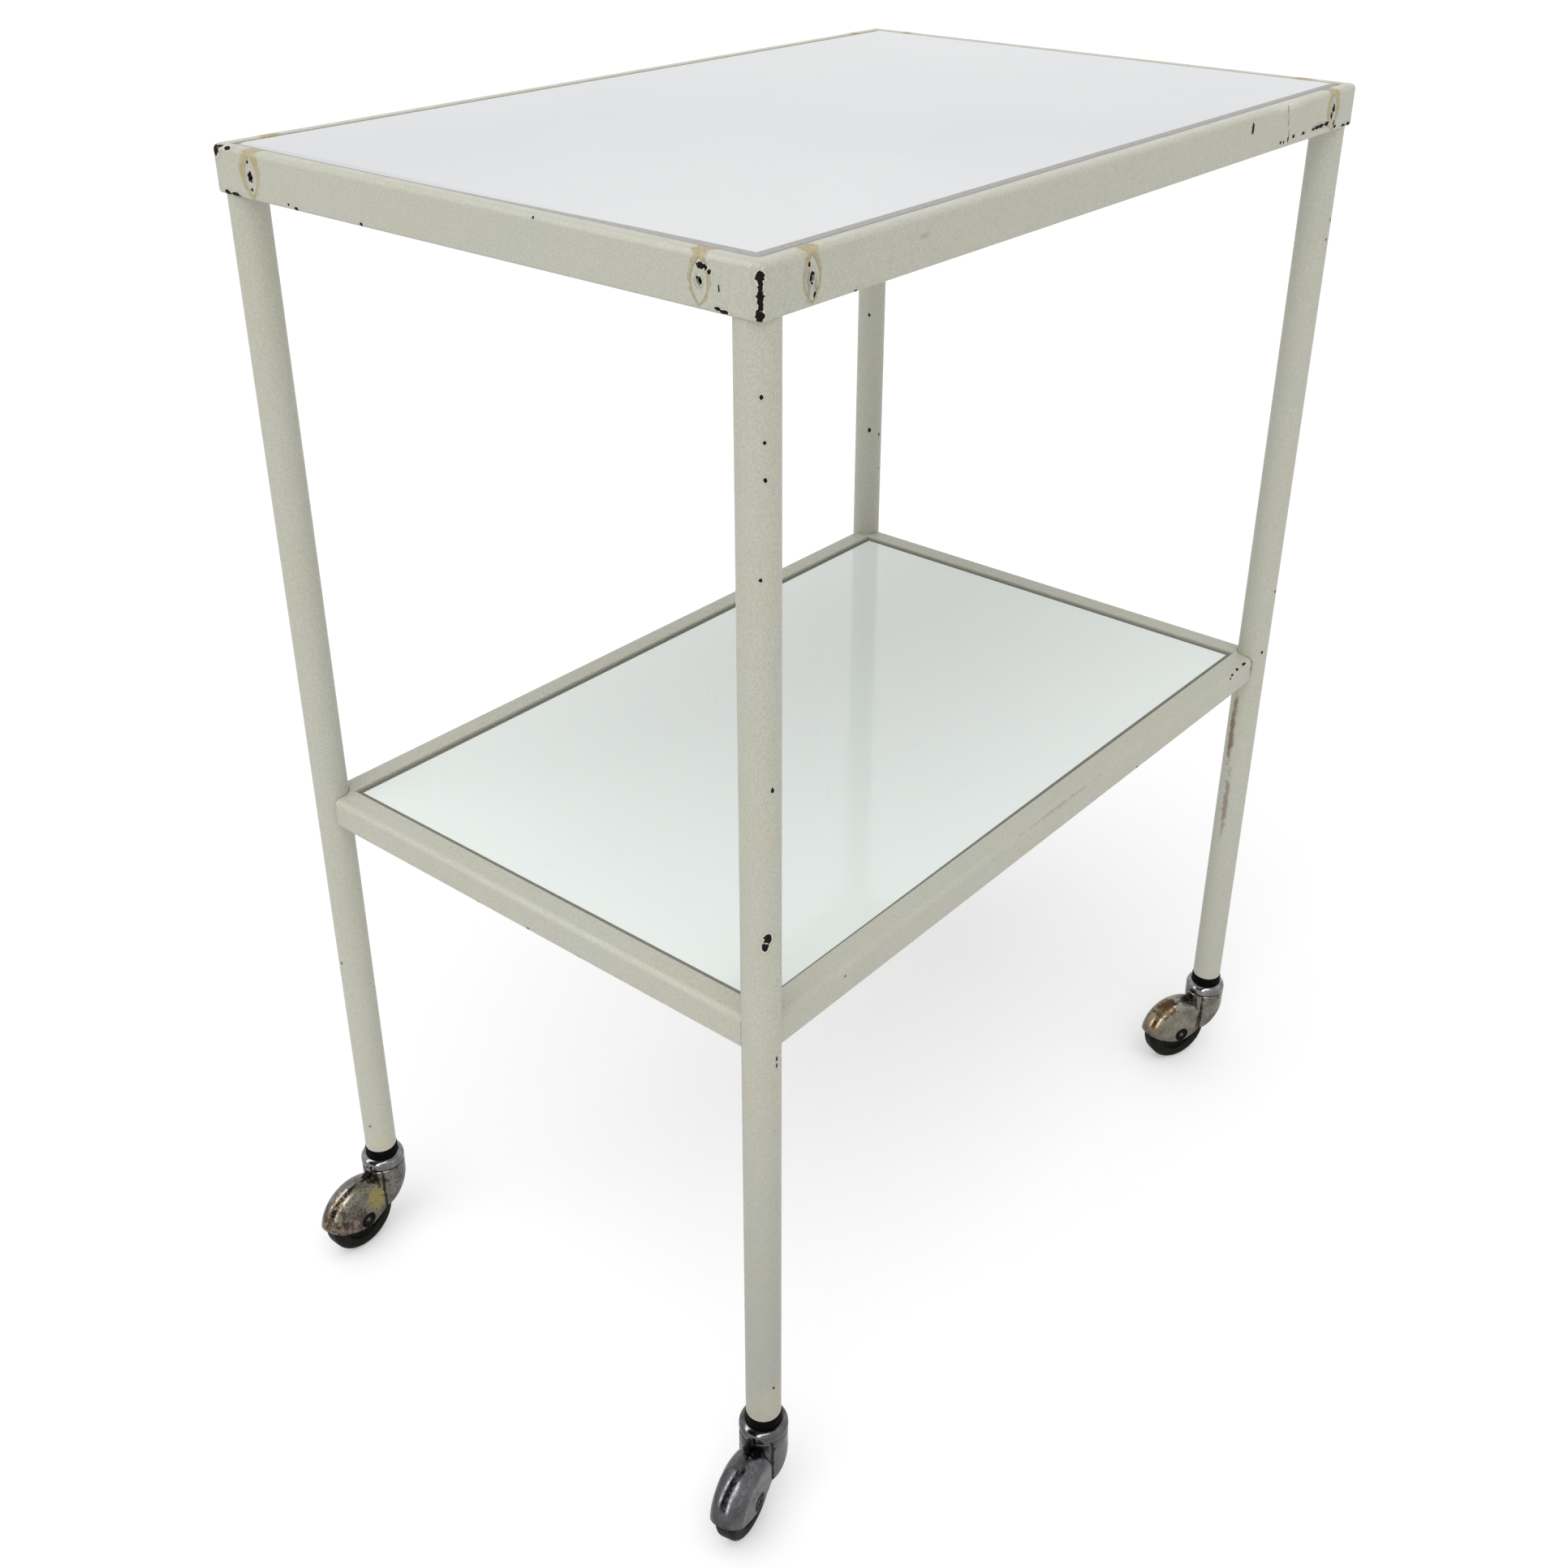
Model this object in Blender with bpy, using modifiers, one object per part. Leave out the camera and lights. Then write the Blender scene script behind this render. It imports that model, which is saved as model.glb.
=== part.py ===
"""Wheeled instrument table.

A painted tube frame carries an opal glass top and an opal glass shelf. Cast corner pieces
plug into the top rails, a lens-shaped plate and a tubular rivet pin each of these joints,
and four hooded swivel casters stand under the legs.

Metres, +Z up. The origin is on the floor, under the middle of the table.
"""

import math

import bmesh
import bpy
from mathutils import Matrix, Vector

# ---------------------------------------------------------------- driving dimensions
GAP = 0.0003                    # clearance between pieces that touch

LEG_SPACING_X = 0.576           # leg axis to leg axis
LEG_SPACING_Y = 0.370
LEG_DIAMETER = 0.022
LEG_WALL = 0.0015

TOP_HEIGHT = 0.791              # top of the upper rails above the floor
TOP_RAIL_HEIGHT = 0.0260
TOP_RAIL_WIDTH = 0.0080
LEG_SKIN = 0.0010               # corner face beyond the leg's side
TOP_EDGE_RADIUS = 0.0030        # upper outer edge of the top frame
TOP_LOWER_EDGE_RADIUS = 0.0015

SHELF_HEIGHT = 0.378            # top of the shelf rails above the floor
SHELF_RAIL_HEIGHT = 0.0215
SHELF_RAIL_WIDTH = 0.0162
SHELF_SETBACK = 0.0054          # outer face behind the leg's side
SHELF_EDGE_RADIUS = 0.0040

RAIL_WALL = 0.0015
INNER_EDGE_RADIUS = 0.0010
LEDGE_WIDTH = 0.0090            # the strip inside a rail that the glass lies on
LEDGE_THICKNESS = 0.0015

CORNER_ARM = 0.0350             # outer face to the joint with the rail
CORNER_RADIUS = 0.0050          # rounding of the upright outer edge
SOCKET_WALL = 0.0035            # of the block round the leg, inside the table
CORNER_BLOCK_RADIUS = 0.0090
SOCKET_DEPTH = 0.0150
SPIGOT_LENGTH = 0.0200          # how far the corner reaches into a rail

LENS_WIDTH = 0.0096
LENS_HEIGHT = 0.0206
LENS_BELOW_TOP = 0.0134         # centre of the plate below the top of the rail
LENS_BEVEL = 0.0003
RIVET_RADIUS = 0.0030
RIVET_BORE_RADIUS = 0.0022
RIVET_LENGTH = 0.0055
RIVET_BORE_DEPTH = 0.0040

TOP_GLASS_THICKNESS = 0.0050
TOP_GLASS_PROUD = 0.0002        # glass surface above the rails
TOP_GLASS_GAP = 0.0010          # open joint round the glass
TOP_GLASS_EDGE_RADIUS = 0.0010
SHELF_GLASS_THICKNESS = 0.0040
SHELF_GLASS_SUNK = 0.0022       # glass surface below the rails
SHELF_GLASS_GAP = 0.0008
SHELF_GLASS_EDGE_RADIUS = 0.0015
GLASS_CORNER_RADIUS = 0.0020

WHEEL_RADIUS = 0.0265
WHEEL_STEPS = 24
TREAD_HALF_WIDTH = 0.0074
TREAD_FLAT_HALF_WIDTH = 0.0032
TREAD_SHOULDER = 0.0045         # radial height of the rounded shoulder
WHEEL_WEB_HALF_WIDTH = 0.0045
WHEEL_RIM_DEPTH = 0.0090        # radial depth of the tyre and its rim
HUB_RADIUS = 0.0075
AXLE_RADIUS = 0.0030
AXLE_RUNNING_GAP = 0.0002       # round the axle in the wheel
AXLE_HEAD_RADIUS = 0.0044
AXLE_HEAD_PROUD = 0.0002        # beyond the cheek whose hole it fills

CASTER_TRAIL = 0.0270           # swivel axis to wheel axle
LEG_END_ABOVE_COLLAR = 0.0070   # the black flange that shows between them
HOOD_WALL = 0.0013
HOOD_CLEAR_OF_WHEEL = 0.0036
HOOD_HALF_WIDTH = 0.0115        # flat sides, outside
HOOD_SHOULDER_DEPTH = 0.0110    # from the crown down to the flat side
HOOD_SHOULDER_STEPS = 4
HOOD_STEPS = 28
LIP_STEPS = 6                   # along each of the two curves of the lip
NECK_INSIDE_COLLAR = 0.0002     # its side behind the collar's
NECK_TOP_ABOVE_CROWN = 0.0028
NECK_EDGE_RADIUS = 0.0014

# The hood's lip, as two curves; each point is (from the swivel axis, above the axle).
LIP_BACK = (-0.0194, 0.0300)
LIP_BACK_HANDLE = (-0.0050, 0.0205)
LIP_LOW_HANDLE = (0.0090, -0.0059)
LIP_LOW = (0.0270, -0.0059)
LIP_FRONT_HANDLE = (0.0380, -0.0059)
LIP_END_HANDLE = (0.0480, 0.0015)
LIP_END = (0.0600, 0.0070)

COLLAR_WIDTH = 0.0036           # opening to rim
COLLAR_CLEAR_OF_LEG = 0.0009    # its opening is this much wider than the leg
COLLAR_HEIGHT = 0.0072
COLLAR_CLEAR_OF_NECK = 0.0012   # the dark line under the collar
COLLAR_SKIRT = 0.0022           # straight band under the collar's dome
COLLAR_DOME_STEPS = 4
COLLAR_LAP = 0.0016             # how far the plug's flange reaches into the collar
STEM_RADIUS = 0.0040
STEM_HEAD_RADIUS = 0.0065
STEM_HEAD_THICKNESS = 0.0026
STEM_TOP_ABOVE_LEG_END = 0.0160
PLUG_LENGTH_IN_LEG = 0.0220

# Which way each caster trails, in degrees about +Z from +X.
CASTER_YAW = {
    "back_left": 180.6,
    "front_left": 192.7,
    "front_right": 154.1,
    "back_right": 12.7,
}

ROUND_STEPS = 24
FINE_STEPS = 20
SMALL_STEPS = 12
ARC_STEPS = 2

# ---------------------------------------------------------------- sizes that follow
HALF_X = LEG_SPACING_X / 2
HALF_Y = LEG_SPACING_Y / 2
LEG_RADIUS = LEG_DIAMETER / 2
TOP_RAIL_OVERHANG = LEG_RADIUS + LEG_SKIN
OUTER_X = HALF_X + TOP_RAIL_OVERHANG
OUTER_Y = HALF_Y + TOP_RAIL_OVERHANG
CORNER_BLOCK = TOP_RAIL_OVERHANG + LEG_RADIUS + SOCKET_WALL
TOP_BOTTOM = TOP_HEIGHT - TOP_RAIL_HEIGHT
TOP_LEDGE = TOP_RAIL_HEIGHT + TOP_GLASS_PROUD - TOP_GLASS_THICKNESS - GAP
SHELF_RAIL_OVERHANG = LEG_RADIUS - SHELF_SETBACK
SHELF_BOTTOM = SHELF_HEIGHT - SHELF_RAIL_HEIGHT
SHELF_LEDGE = SHELF_RAIL_HEIGHT - SHELF_GLASS_SUNK - SHELF_GLASS_THICKNESS - GAP
LEG_TOP = TOP_BOTTOM + SOCKET_DEPTH - GAP
LEG_BORE_RADIUS = LEG_RADIUS - LEG_WALL
AXLE_HEIGHT = WHEEL_RADIUS * math.cos(math.pi / WHEEL_STEPS)
HOOD_CROWN_RADIUS = WHEEL_RADIUS + HOOD_CLEAR_OF_WHEEL + HOOD_WALL
COLLAR_OPENING_RADIUS = LEG_RADIUS + COLLAR_CLEAR_OF_LEG
COLLAR_RADIUS = COLLAR_OPENING_RADIUS + COLLAR_WIDTH
NECK_RADIUS = COLLAR_RADIUS - NECK_INSIDE_COLLAR
NECK_TOP = AXLE_HEIGHT + HOOD_CROWN_RADIUS + NECK_TOP_ABOVE_CROWN
COLLAR_BOTTOM = NECK_TOP + COLLAR_CLEAR_OF_NECK
COLLAR_TOP = COLLAR_BOTTOM + COLLAR_HEIGHT
LEG_END = COLLAR_TOP + LEG_END_ABOVE_COLLAR
FLANGE_RADIUS = COLLAR_OPENING_RADIUS - GAP
RACE_TOP = COLLAR_TOP - COLLAR_LAP
SEAT_RADIUS = (FLANGE_RADIUS + COLLAR_RADIUS) / 2
HUB_HALF_LENGTH = HOOD_HALF_WIDTH - HOOD_WALL - GAP
LEGS = {
    "front_left": (-1, -1),
    "front_right": (1, -1),
    "back_left": (-1, 1),
    "back_right": (1, 1),
}

PART_COLLECTION = "instrument_table"
CUTTER_COLLECTION = "cutters"


# ---------------------------------------------------------------- scene helpers
def clear_scene():
    for old in list(bpy.data.objects):
        bpy.data.objects.remove(old, do_unlink=True)


def make_collection(name):
    collection = bpy.data.collections.new(name)
    bpy.context.scene.collection.children.link(collection)
    return collection


def make_material(name, color, roughness, metallic=0.0):
    material = bpy.data.materials.new(name)
    material.use_nodes = True
    shader = material.node_tree.nodes["Principled BSDF"]
    shader.inputs["Base Color"].default_value = (*color, 1.0)
    shader.inputs["Roughness"].default_value = roughness
    shader.inputs["Metallic"].default_value = metallic
    return material


def add_object(name, mesh, material, matrix=None, parent=None):
    """Link a mesh as a named part; matrix is its place in its parent's frame."""
    obj = bpy.data.objects.new(name, mesh)
    bpy.data.collections[PART_COLLECTION].objects.link(obj)
    if not mesh.materials:
        mesh.materials.append(material)
    obj.parent = parent
    if matrix is not None:
        obj.matrix_local = matrix
    return obj


def add_empty(name, location, yaw=0.0, parent=None):
    empty = bpy.data.objects.new(name, None)
    bpy.data.collections[PART_COLLECTION].objects.link(empty)
    empty.empty_display_size = 0.02
    empty.location = location
    empty.rotation_euler = (0.0, 0.0, yaw)
    empty.parent = parent
    return empty


def smooth(mesh, angle=math.radians(35)):
    mesh.shade_smooth()
    mesh.set_sharp_from_angle(angle=angle)
    return mesh


def mesh_of(obj):
    """The evaluated mesh of a scratch object, which is then removed."""
    bpy.context.view_layer.update()
    graph = bpy.context.evaluated_depsgraph_get()
    mesh = bpy.data.meshes.new_from_object(obj.evaluated_get(graph))
    mesh.transform(obj.matrix_world)
    bpy.data.objects.remove(obj, do_unlink=True)
    return mesh


def scratch(mesh, name="scratch"):
    obj = bpy.data.objects.new(name, mesh)
    bpy.data.collections[CUTTER_COLLECTION].objects.link(obj)
    obj.hide_render = True
    obj.display_type = "WIRE"
    return obj


# ---------------------------------------------------------------- shape helpers
def arc(center, radius, start, end, steps):
    """Points along an arc, both ends included; angles in radians."""
    points = []
    for i in range(steps + 1):
        angle = start + (end - start) * i / steps
        points.append((center[0] + radius * math.cos(angle), center[1] + radius * math.sin(angle)))
    return points


def quarter_turns(steps):
    return [math.pi / 2 * i / steps for i in range(steps + 1)]


def circle(center, radius, steps, turn=0.0):
    points = arc(center, radius, turn, turn + 2 * math.pi, steps)
    return points[:-1]


def rounded_polygon(corners):
    """An outline from (x, y, radius) corners, each rounded by an arc of ARC_STEPS."""
    points = []
    count = len(corners)
    for i, (x, y, radius) in enumerate(corners):
        here = Vector((x, y))
        before = (Vector(corners[i - 1][:2]) - here).normalized()
        after = (Vector(corners[(i + 1) % count][:2]) - here).normalized()
        if radius <= 0.0:
            points.append((x, y))
            continue
        half = before.angle(after) / 2
        reach = radius / math.tan(half)
        center = here + (before + after).normalized() * (radius / math.sin(half))
        first = here + before * reach - center
        last = here + after * reach - center
        turn = first.angle_signed(last)
        for step in range(ARC_STEPS + 1):
            spoke = first.copy()
            spoke.rotate(Matrix.Rotation(-turn * step / ARC_STEPS, 2))
            points.append(tuple(center + spoke))
    return points


def lens(center, width, height, steps=5):
    """A pointed oval, upright, made of two equal arcs."""
    radius = (height ** 2 + width ** 2) / (4 * width)
    offset = radius - width / 2
    half = math.asin(height / 2 / radius)
    right = arc((center[0] - offset, center[1]), radius, -half, half, steps)
    left = arc((center[0] + offset, center[1]), radius, math.pi - half, math.pi + half, steps)
    return right[:-1] + left[:-1]


def prism(loops, low, high):
    """A closed mesh from flat outlines (holes allowed), from z = low to z = high."""
    curve = bpy.data.curves.new("outline", "CURVE")
    curve.dimensions = "2D"
    curve.fill_mode = "BOTH"
    curve.render_resolution_u = 0
    for loop in loops:
        spline = curve.splines.new("POLY")
        spline.points.add(len(loop) - 1)
        for point, (x, y) in zip(spline.points, loop):
            point.co = (x, y, 0.0, 1.0)
        spline.use_cyclic_u = True
    curve.extrude = (high - low) / 2
    obj = bpy.data.objects.new("outline", curve)
    bpy.data.collections[CUTTER_COLLECTION].objects.link(obj)
    obj.location = (0.0, 0.0, (high + low) / 2)
    mesh = mesh_of(obj)
    bpy.data.curves.remove(curve)
    weld(mesh)
    return mesh


def weld(mesh):
    work = bmesh.new()
    work.from_mesh(mesh)
    bmesh.ops.remove_doubles(work, verts=work.verts, dist=0.000001)
    bmesh.ops.recalc_face_normals(work, faces=work.faces)
    work.to_mesh(mesh)
    work.free()


def block(low, high):
    """An axis-aligned box mesh between two corners."""
    mesh = bpy.data.meshes.new("block")
    work = bmesh.new()
    size = Vector(high) - Vector(low)
    middle = (Vector(high) + Vector(low)) / 2
    bmesh.ops.create_cube(work, size=1.0, matrix=Matrix.Translation(middle) @ Matrix.Diagonal((*size, 1.0)))
    work.to_mesh(mesh)
    work.free()
    return mesh


def rod(radius, low, high, steps=FINE_STEPS, center=(0.0, 0.0)):
    """A cylinder mesh along Z, with an edge turned so that a flat faces +X."""
    return prism([circle(center, radius, steps, math.pi / steps)], low, high)


def turned(profile, steps):
    """Revolve a closed (radius, height) profile about Z; it runs down its outer side."""
    mesh = bpy.data.meshes.new("profile")
    count = len(profile)
    edges = [(i, i + 1) for i in range(count - 1)]
    if profile[0][0] > 0.0:
        edges.append((count - 1, 0))
    mesh.from_pydata([(radius, 0.0, height) for radius, height in profile], edges, [])
    obj = scratch(mesh, "turned")
    screw = obj.modifiers.new("screw", "SCREW")
    screw.steps = steps
    screw.render_steps = steps
    screw.use_merge_vertices = True
    screw.merge_threshold = 0.000001
    screw.use_smooth_shade = False
    result = mesh_of(obj)
    bpy.data.meshes.remove(mesh)
    weld(result)
    result.transform(Matrix.Rotation(math.pi / steps, 4, "Z"))
    return result


def combine(base, others, operation):
    """Boolean a mesh with others, one after another, by the exact solver."""
    target = scratch(base, "target")
    tools = []
    for other in others:
        tool = scratch(other, "tool")
        tools.append(tool)
        modifier = target.modifiers.new("combine", "BOOLEAN")
        modifier.operation = operation
        modifier.solver = "EXACT"
        modifier.object = tool
    result = mesh_of(target)
    for tool in tools:
        bpy.data.objects.remove(tool, do_unlink=True)
    weld(result)
    return result


def bevel_where(mesh, test, width, steps):
    """Round the edges whose two ends both pass the test."""
    work = bmesh.new()
    work.from_mesh(mesh)
    chosen = [edge for edge in work.edges if test(edge) and edge.calc_face_angle(0.0) > math.radians(30)]
    bmesh.ops.bevel(work, geom=chosen, offset=width, segments=steps, profile=0.5, affect="EDGES")
    work.to_mesh(mesh)
    work.free()
    return mesh


def dissolve_flat(mesh):
    """Merge the triangles of flat faces."""
    work = bmesh.new()
    work.from_mesh(mesh)
    bmesh.ops.dissolve_limit(work, angle_limit=math.radians(1), verts=work.verts, edges=work.edges)
    work.to_mesh(mesh)
    work.free()


# ---------------------------------------------------------------- rails
def rail_loops(width, height, radius, lower_radius, ledge, wall=RAIL_WALL):
    """Section of a glazed rail: x runs inward from its outer face, y runs up."""
    outside = rounded_polygon([
        (0.0, 0.0, lower_radius),
        (width, 0.0, lower_radius),
        (width, ledge - LEDGE_THICKNESS, 0.0),
        (width + LEDGE_WIDTH, ledge - LEDGE_THICKNESS, 0.0),
        (width + LEDGE_WIDTH, ledge, 0.0),
        (width, ledge, 0.0),
        (width, height, INNER_EDGE_RADIUS),
        (0.0, height, radius),
    ])
    inner_lower_radius = max(lower_radius - wall, 0.0)
    inside = rounded_polygon([
        (wall, wall, inner_lower_radius),
        (width - wall, wall, inner_lower_radius),
        (width - wall, height - wall, 0.0),
        (wall, height - wall, max(radius - wall, 0.0)),
    ])
    return [outside, inside]


def along_side(side, outer_x, outer_y, bottom):
    """Matrix that stands a section's x inward, y up and z along one side of the table."""
    frames = {
        "front": ((0, 1, 0), (1, 0, 0), (0.0, -outer_y, bottom)),
        "back": ((0, -1, 0), (-1, 0, 0), (0.0, outer_y, bottom)),
        "left": ((1, 0, 0), (0, -1, 0), (-outer_x, 0.0, bottom)),
        "right": ((-1, 0, 0), (0, 1, 0), (outer_x, 0.0, bottom)),
    }
    inward, along, origin = frames[side]
    columns = Matrix((inward, (0, 0, 1), along)).transposed().to_4x4()
    return Matrix.Translation(origin) @ columns


def top_rail_mesh(length):
    radii = (TOP_EDGE_RADIUS, TOP_LOWER_EDGE_RADIUS)
    loops = rail_loops(TOP_RAIL_WIDTH, TOP_RAIL_HEIGHT, *radii, TOP_LEDGE)
    mesh = prism(loops, -length / 2, length / 2)
    windows = [lens_window(end * (length + GAP) / 2) for end in (-1, 1)]
    return smooth(combine(mesh, windows, "DIFFERENCE"))


def lens_window(joint):
    """Cutter for the window in a rail's outer wall, centred on a joint along the rail."""
    center = (-joint, TOP_RAIL_HEIGHT - LENS_BELOW_TOP)
    outline = lens(center, LENS_WIDTH + 2 * GAP, LENS_HEIGHT + 2 * GAP)
    mesh = prism([outline], -RAIL_WALL, RAIL_WALL + GAP)
    mesh.transform(Matrix.Rotation(math.pi / 2, 4, "Y"))
    return mesh


def shelf_rail_mesh(spacing):
    """A shelf rail between two legs, coped round them and mitred to its neighbours."""
    radii = (SHELF_EDGE_RADIUS, SHELF_EDGE_RADIUS)
    loops = rail_loops(SHELF_RAIL_WIDTH, SHELF_RAIL_HEIGHT, *radii, SHELF_LEDGE)
    mesh = prism(loops, -spacing / 2 - LEG_RADIUS, spacing / 2 + LEG_RADIUS)
    cutters = []
    for end in (-1, 1):
        cutters.append(cope_cutter(end, spacing))
        cutters.append(mitre_cutter(end, spacing))
    return smooth(combine(mesh, cutters, "DIFFERENCE"))


def cope_cutter(end, spacing):
    """The leg with its clearance, in a section's frame: x inward, y up, z along the rail."""
    cutter = rod(LEG_RADIUS + GAP, -SHELF_RAIL_HEIGHT, 2 * SHELF_RAIL_HEIGHT, ROUND_STEPS)
    cutter.transform(Matrix.Rotation(-math.pi / 2, 4, "X"))
    cutter.transform(Matrix.Translation((SHELF_RAIL_OVERHANG, 0.0, end * spacing / 2)))
    return cutter


def mitre_cutter(end, spacing):
    """Removes what lies past the 45 degree plane through a leg's axis, less half a gap."""
    reach = 3 * SHELF_RAIL_WIDTH
    near, far = (-GAP / 2, reach) if end > 0 else (-reach, GAP / 2)
    cutter = block((-reach, -SHELF_RAIL_HEIGHT, near), (reach, 2 * SHELF_RAIL_HEIGHT, far))
    cutter.transform(Matrix.Rotation(end * math.radians(45), 4, "Y"))
    cutter.transform(Matrix.Translation((SHELF_RAIL_OVERHANG, 0.0, end * spacing / 2)))
    return cutter


# ---------------------------------------------------------------- top corners
def corner_mesh():
    """A cast corner: two arms along +x and +y, spigots, a leg socket and glass ledges.

    Its origin is where the two outer faces would meet, at the bottom.
    """
    arm = CORNER_ARM - GAP / 2
    width = TOP_RAIL_WIDTH
    inset = CORNER_RADIUS
    ledge = width + LEDGE_WIDTH
    arms = prism([angle_outline(0.0, width, arm, CORNER_RADIUS)], 0.0, TOP_RAIL_HEIGHT)
    round_corner_edges(arms)
    ledges = prism([angle_outline(inset, ledge, arm, 0.0)], TOP_LEDGE - LEDGE_THICKNESS, TOP_LEDGE)
    body = prism([rounded_polygon([
        (inset, inset, 0.0),
        (CORNER_BLOCK, inset, 0.0),
        (CORNER_BLOCK, CORNER_BLOCK, CORNER_BLOCK_RADIUS),
        (inset, CORNER_BLOCK, 0.0),
    ])], 0.0, TOP_LEDGE)
    spigots = [spigot_mesh(arm), swap_xy(spigot_mesh(arm))]
    mesh = combine(arms, [body, ledges] + spigots, "UNION")
    center = (TOP_RAIL_OVERHANG, TOP_RAIL_OVERHANG)
    socket = rod(LEG_RADIUS + GAP, -LEG_RADIUS, SOCKET_DEPTH, ROUND_STEPS, center)
    cuts = [socket]
    for cutter in (plate_pocket, rivet_hole):
        cuts.append(cutter())
        cuts.append(swap_xy(cutter()))
    return smooth(combine(mesh, cuts, "DIFFERENCE"))


def angle_outline(inset, width, arm, radius):
    """An L in plan, its outer sides at inset and its inner sides at width."""
    return rounded_polygon([
        (inset, inset, radius),
        (arm, inset, 0.0),
        (arm, width, 0.0),
        (width, width, 0.0),
        (width, arm, 0.0),
        (inset, arm, 0.0),
    ])


def round_corner_edges(mesh):
    """Give the arms the same rounded edges as the rails they meet."""
    dissolve_flat(mesh)
    near = CORNER_RADIUS / 2

    def outside(vert):
        return min(vert.co.x, vert.co.y) < near

    def inside(vert):
        return min(vert.co.x, vert.co.y) > TOP_RAIL_WIDTH - near

    bevel_where(mesh, edge_test(TOP_RAIL_HEIGHT, outside), TOP_EDGE_RADIUS, ARC_STEPS)
    for test in (outside, inside):
        bevel_where(mesh, edge_test(0.0, test), TOP_LOWER_EDGE_RADIUS, ARC_STEPS)
    bevel_where(mesh, edge_test(TOP_RAIL_HEIGHT, inside), INNER_EDGE_RADIUS, ARC_STEPS)


def edge_test(height, vert_test):
    """True for an edge that lies at a height and whose two ends pass vert_test."""
    def test(edge):
        level = all(abs(vert.co.z - height) < GAP / 4 for vert in edge.verts)
        return level and all(vert_test(vert) for vert in edge.verts)
    return test


def spigot_mesh(arm):
    """The tongue along +x that fills the rail's hollow with GAP all round."""
    inset = RAIL_WALL + GAP
    lower_radius = max(TOP_LOWER_EDGE_RADIUS - inset, 0.0)
    outline = rounded_polygon([
        (inset, inset, lower_radius),
        (TOP_RAIL_WIDTH - inset, inset, lower_radius),
        (TOP_RAIL_WIDTH - inset, TOP_RAIL_HEIGHT - inset, 0.0),
        (inset, TOP_RAIL_HEIGHT - inset, max(TOP_EDGE_RADIUS - inset, 0.0)),
    ])
    mesh = prism([outline], arm - inset, arm + GAP + SPIGOT_LENGTH)
    mesh.transform(Matrix(((0, 0, 1, 0), (1, 0, 0, 0), (0, 1, 0, 0), (0, 0, 0, 1))))
    return mesh


def plate_pocket():
    """The lens-shaped seat in the outer face y = 0, centred on the joint."""
    outline = lens((CORNER_ARM, 0.0), LENS_WIDTH + 2 * GAP, LENS_HEIGHT + 2 * GAP)
    cutter = prism([outline], -RAIL_WALL - GAP / 2, RAIL_WALL)
    cutter.transform(facing_y())
    return cutter


def rivet_hole():
    cutter = rod(RIVET_RADIUS + GAP, -RIVET_LENGTH - GAP, RAIL_WALL, FINE_STEPS, (CORNER_ARM, 0.0))
    cutter.transform(facing_y())
    return cutter


def facing_y():
    """Turns a shape that faces +z about x so that it faces -y, at the plates' height."""
    up = Matrix.Translation((0.0, 0.0, TOP_RAIL_HEIGHT - LENS_BELOW_TOP))
    return up @ Matrix.Rotation(math.pi / 2, 4, "X")


def swap_xy(mesh):
    """The mirror image in the corner's diagonal plane."""
    mesh.transform(Matrix(((0, 1, 0, 0), (1, 0, 0, 0), (0, 0, 1, 0), (0, 0, 0, 1))))
    mesh.flip_normals()
    return mesh


def plate_mesh():
    """The lens-shaped plate with its rivet hole; its outer face is z = 0."""
    hole = circle((0.0, 0.0), RIVET_RADIUS + GAP, SMALL_STEPS, math.pi / SMALL_STEPS)
    mesh = prism([lens((0.0, 0.0), LENS_WIDTH, LENS_HEIGHT), hole], -RAIL_WALL, 0.0)

    def rim(vert):
        return vert.co.xy.length > RIVET_RADIUS + LENS_BEVEL

    bevel_where(mesh, edge_test(0.0, rim), LENS_BEVEL, 1)
    return smooth(mesh)


def rivet_mesh():
    """A tubular rivet, open towards +z."""
    return smooth(turned([
        (0.0, -RIVET_BORE_DEPTH),
        (RIVET_BORE_RADIUS, -RIVET_BORE_DEPTH),
        (RIVET_BORE_RADIUS, 0.0),
        (RIVET_RADIUS, 0.0),
        (RIVET_RADIUS, -RIVET_LENGTH),
        (0.0, -RIVET_LENGTH),
    ], SMALL_STEPS))


# ---------------------------------------------------------------- legs and glass
def leg_mesh():
    loops = []
    for radius in (LEG_RADIUS, LEG_BORE_RADIUS):
        loops.append(circle((0.0, 0.0), radius, ROUND_STEPS, math.pi / ROUND_STEPS))
    return smooth(prism(loops, LEG_END, LEG_TOP))


def glass_mesh(half_x, half_y, thickness, edge_radius):
    """A plate with pencil edges; its upper face is z = 0."""
    radius = GLASS_CORNER_RADIUS
    corners = [(x * half_x, y * half_y, radius) for x, y in ((-1, -1), (1, -1), (1, 1), (-1, 1))]
    mesh = prism([rounded_polygon(corners)], -thickness, 0.0)
    dissolve_flat(mesh)
    for height in (-thickness, 0.0):
        bevel_where(mesh, edge_test(height, lambda vert: True), edge_radius, ARC_STEPS)
    return smooth(mesh)


# ---------------------------------------------------------------- casters
def plug_mesh():
    """The black bush in the leg's end, with the flange that shows under the leg."""
    bore = STEM_RADIUS + GAP
    neck = LEG_BORE_RADIUS - GAP
    top = LEG_END + PLUG_LENGTH_IN_LEG
    return smooth(turned([
        (bore, top),
        (neck, top),
        (neck, LEG_END - GAP),
        (FLANGE_RADIUS, LEG_END - GAP),
        (FLANGE_RADIUS, RACE_TOP + GAP),
        (bore, RACE_TOP + GAP),
    ], FINE_STEPS))


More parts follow.
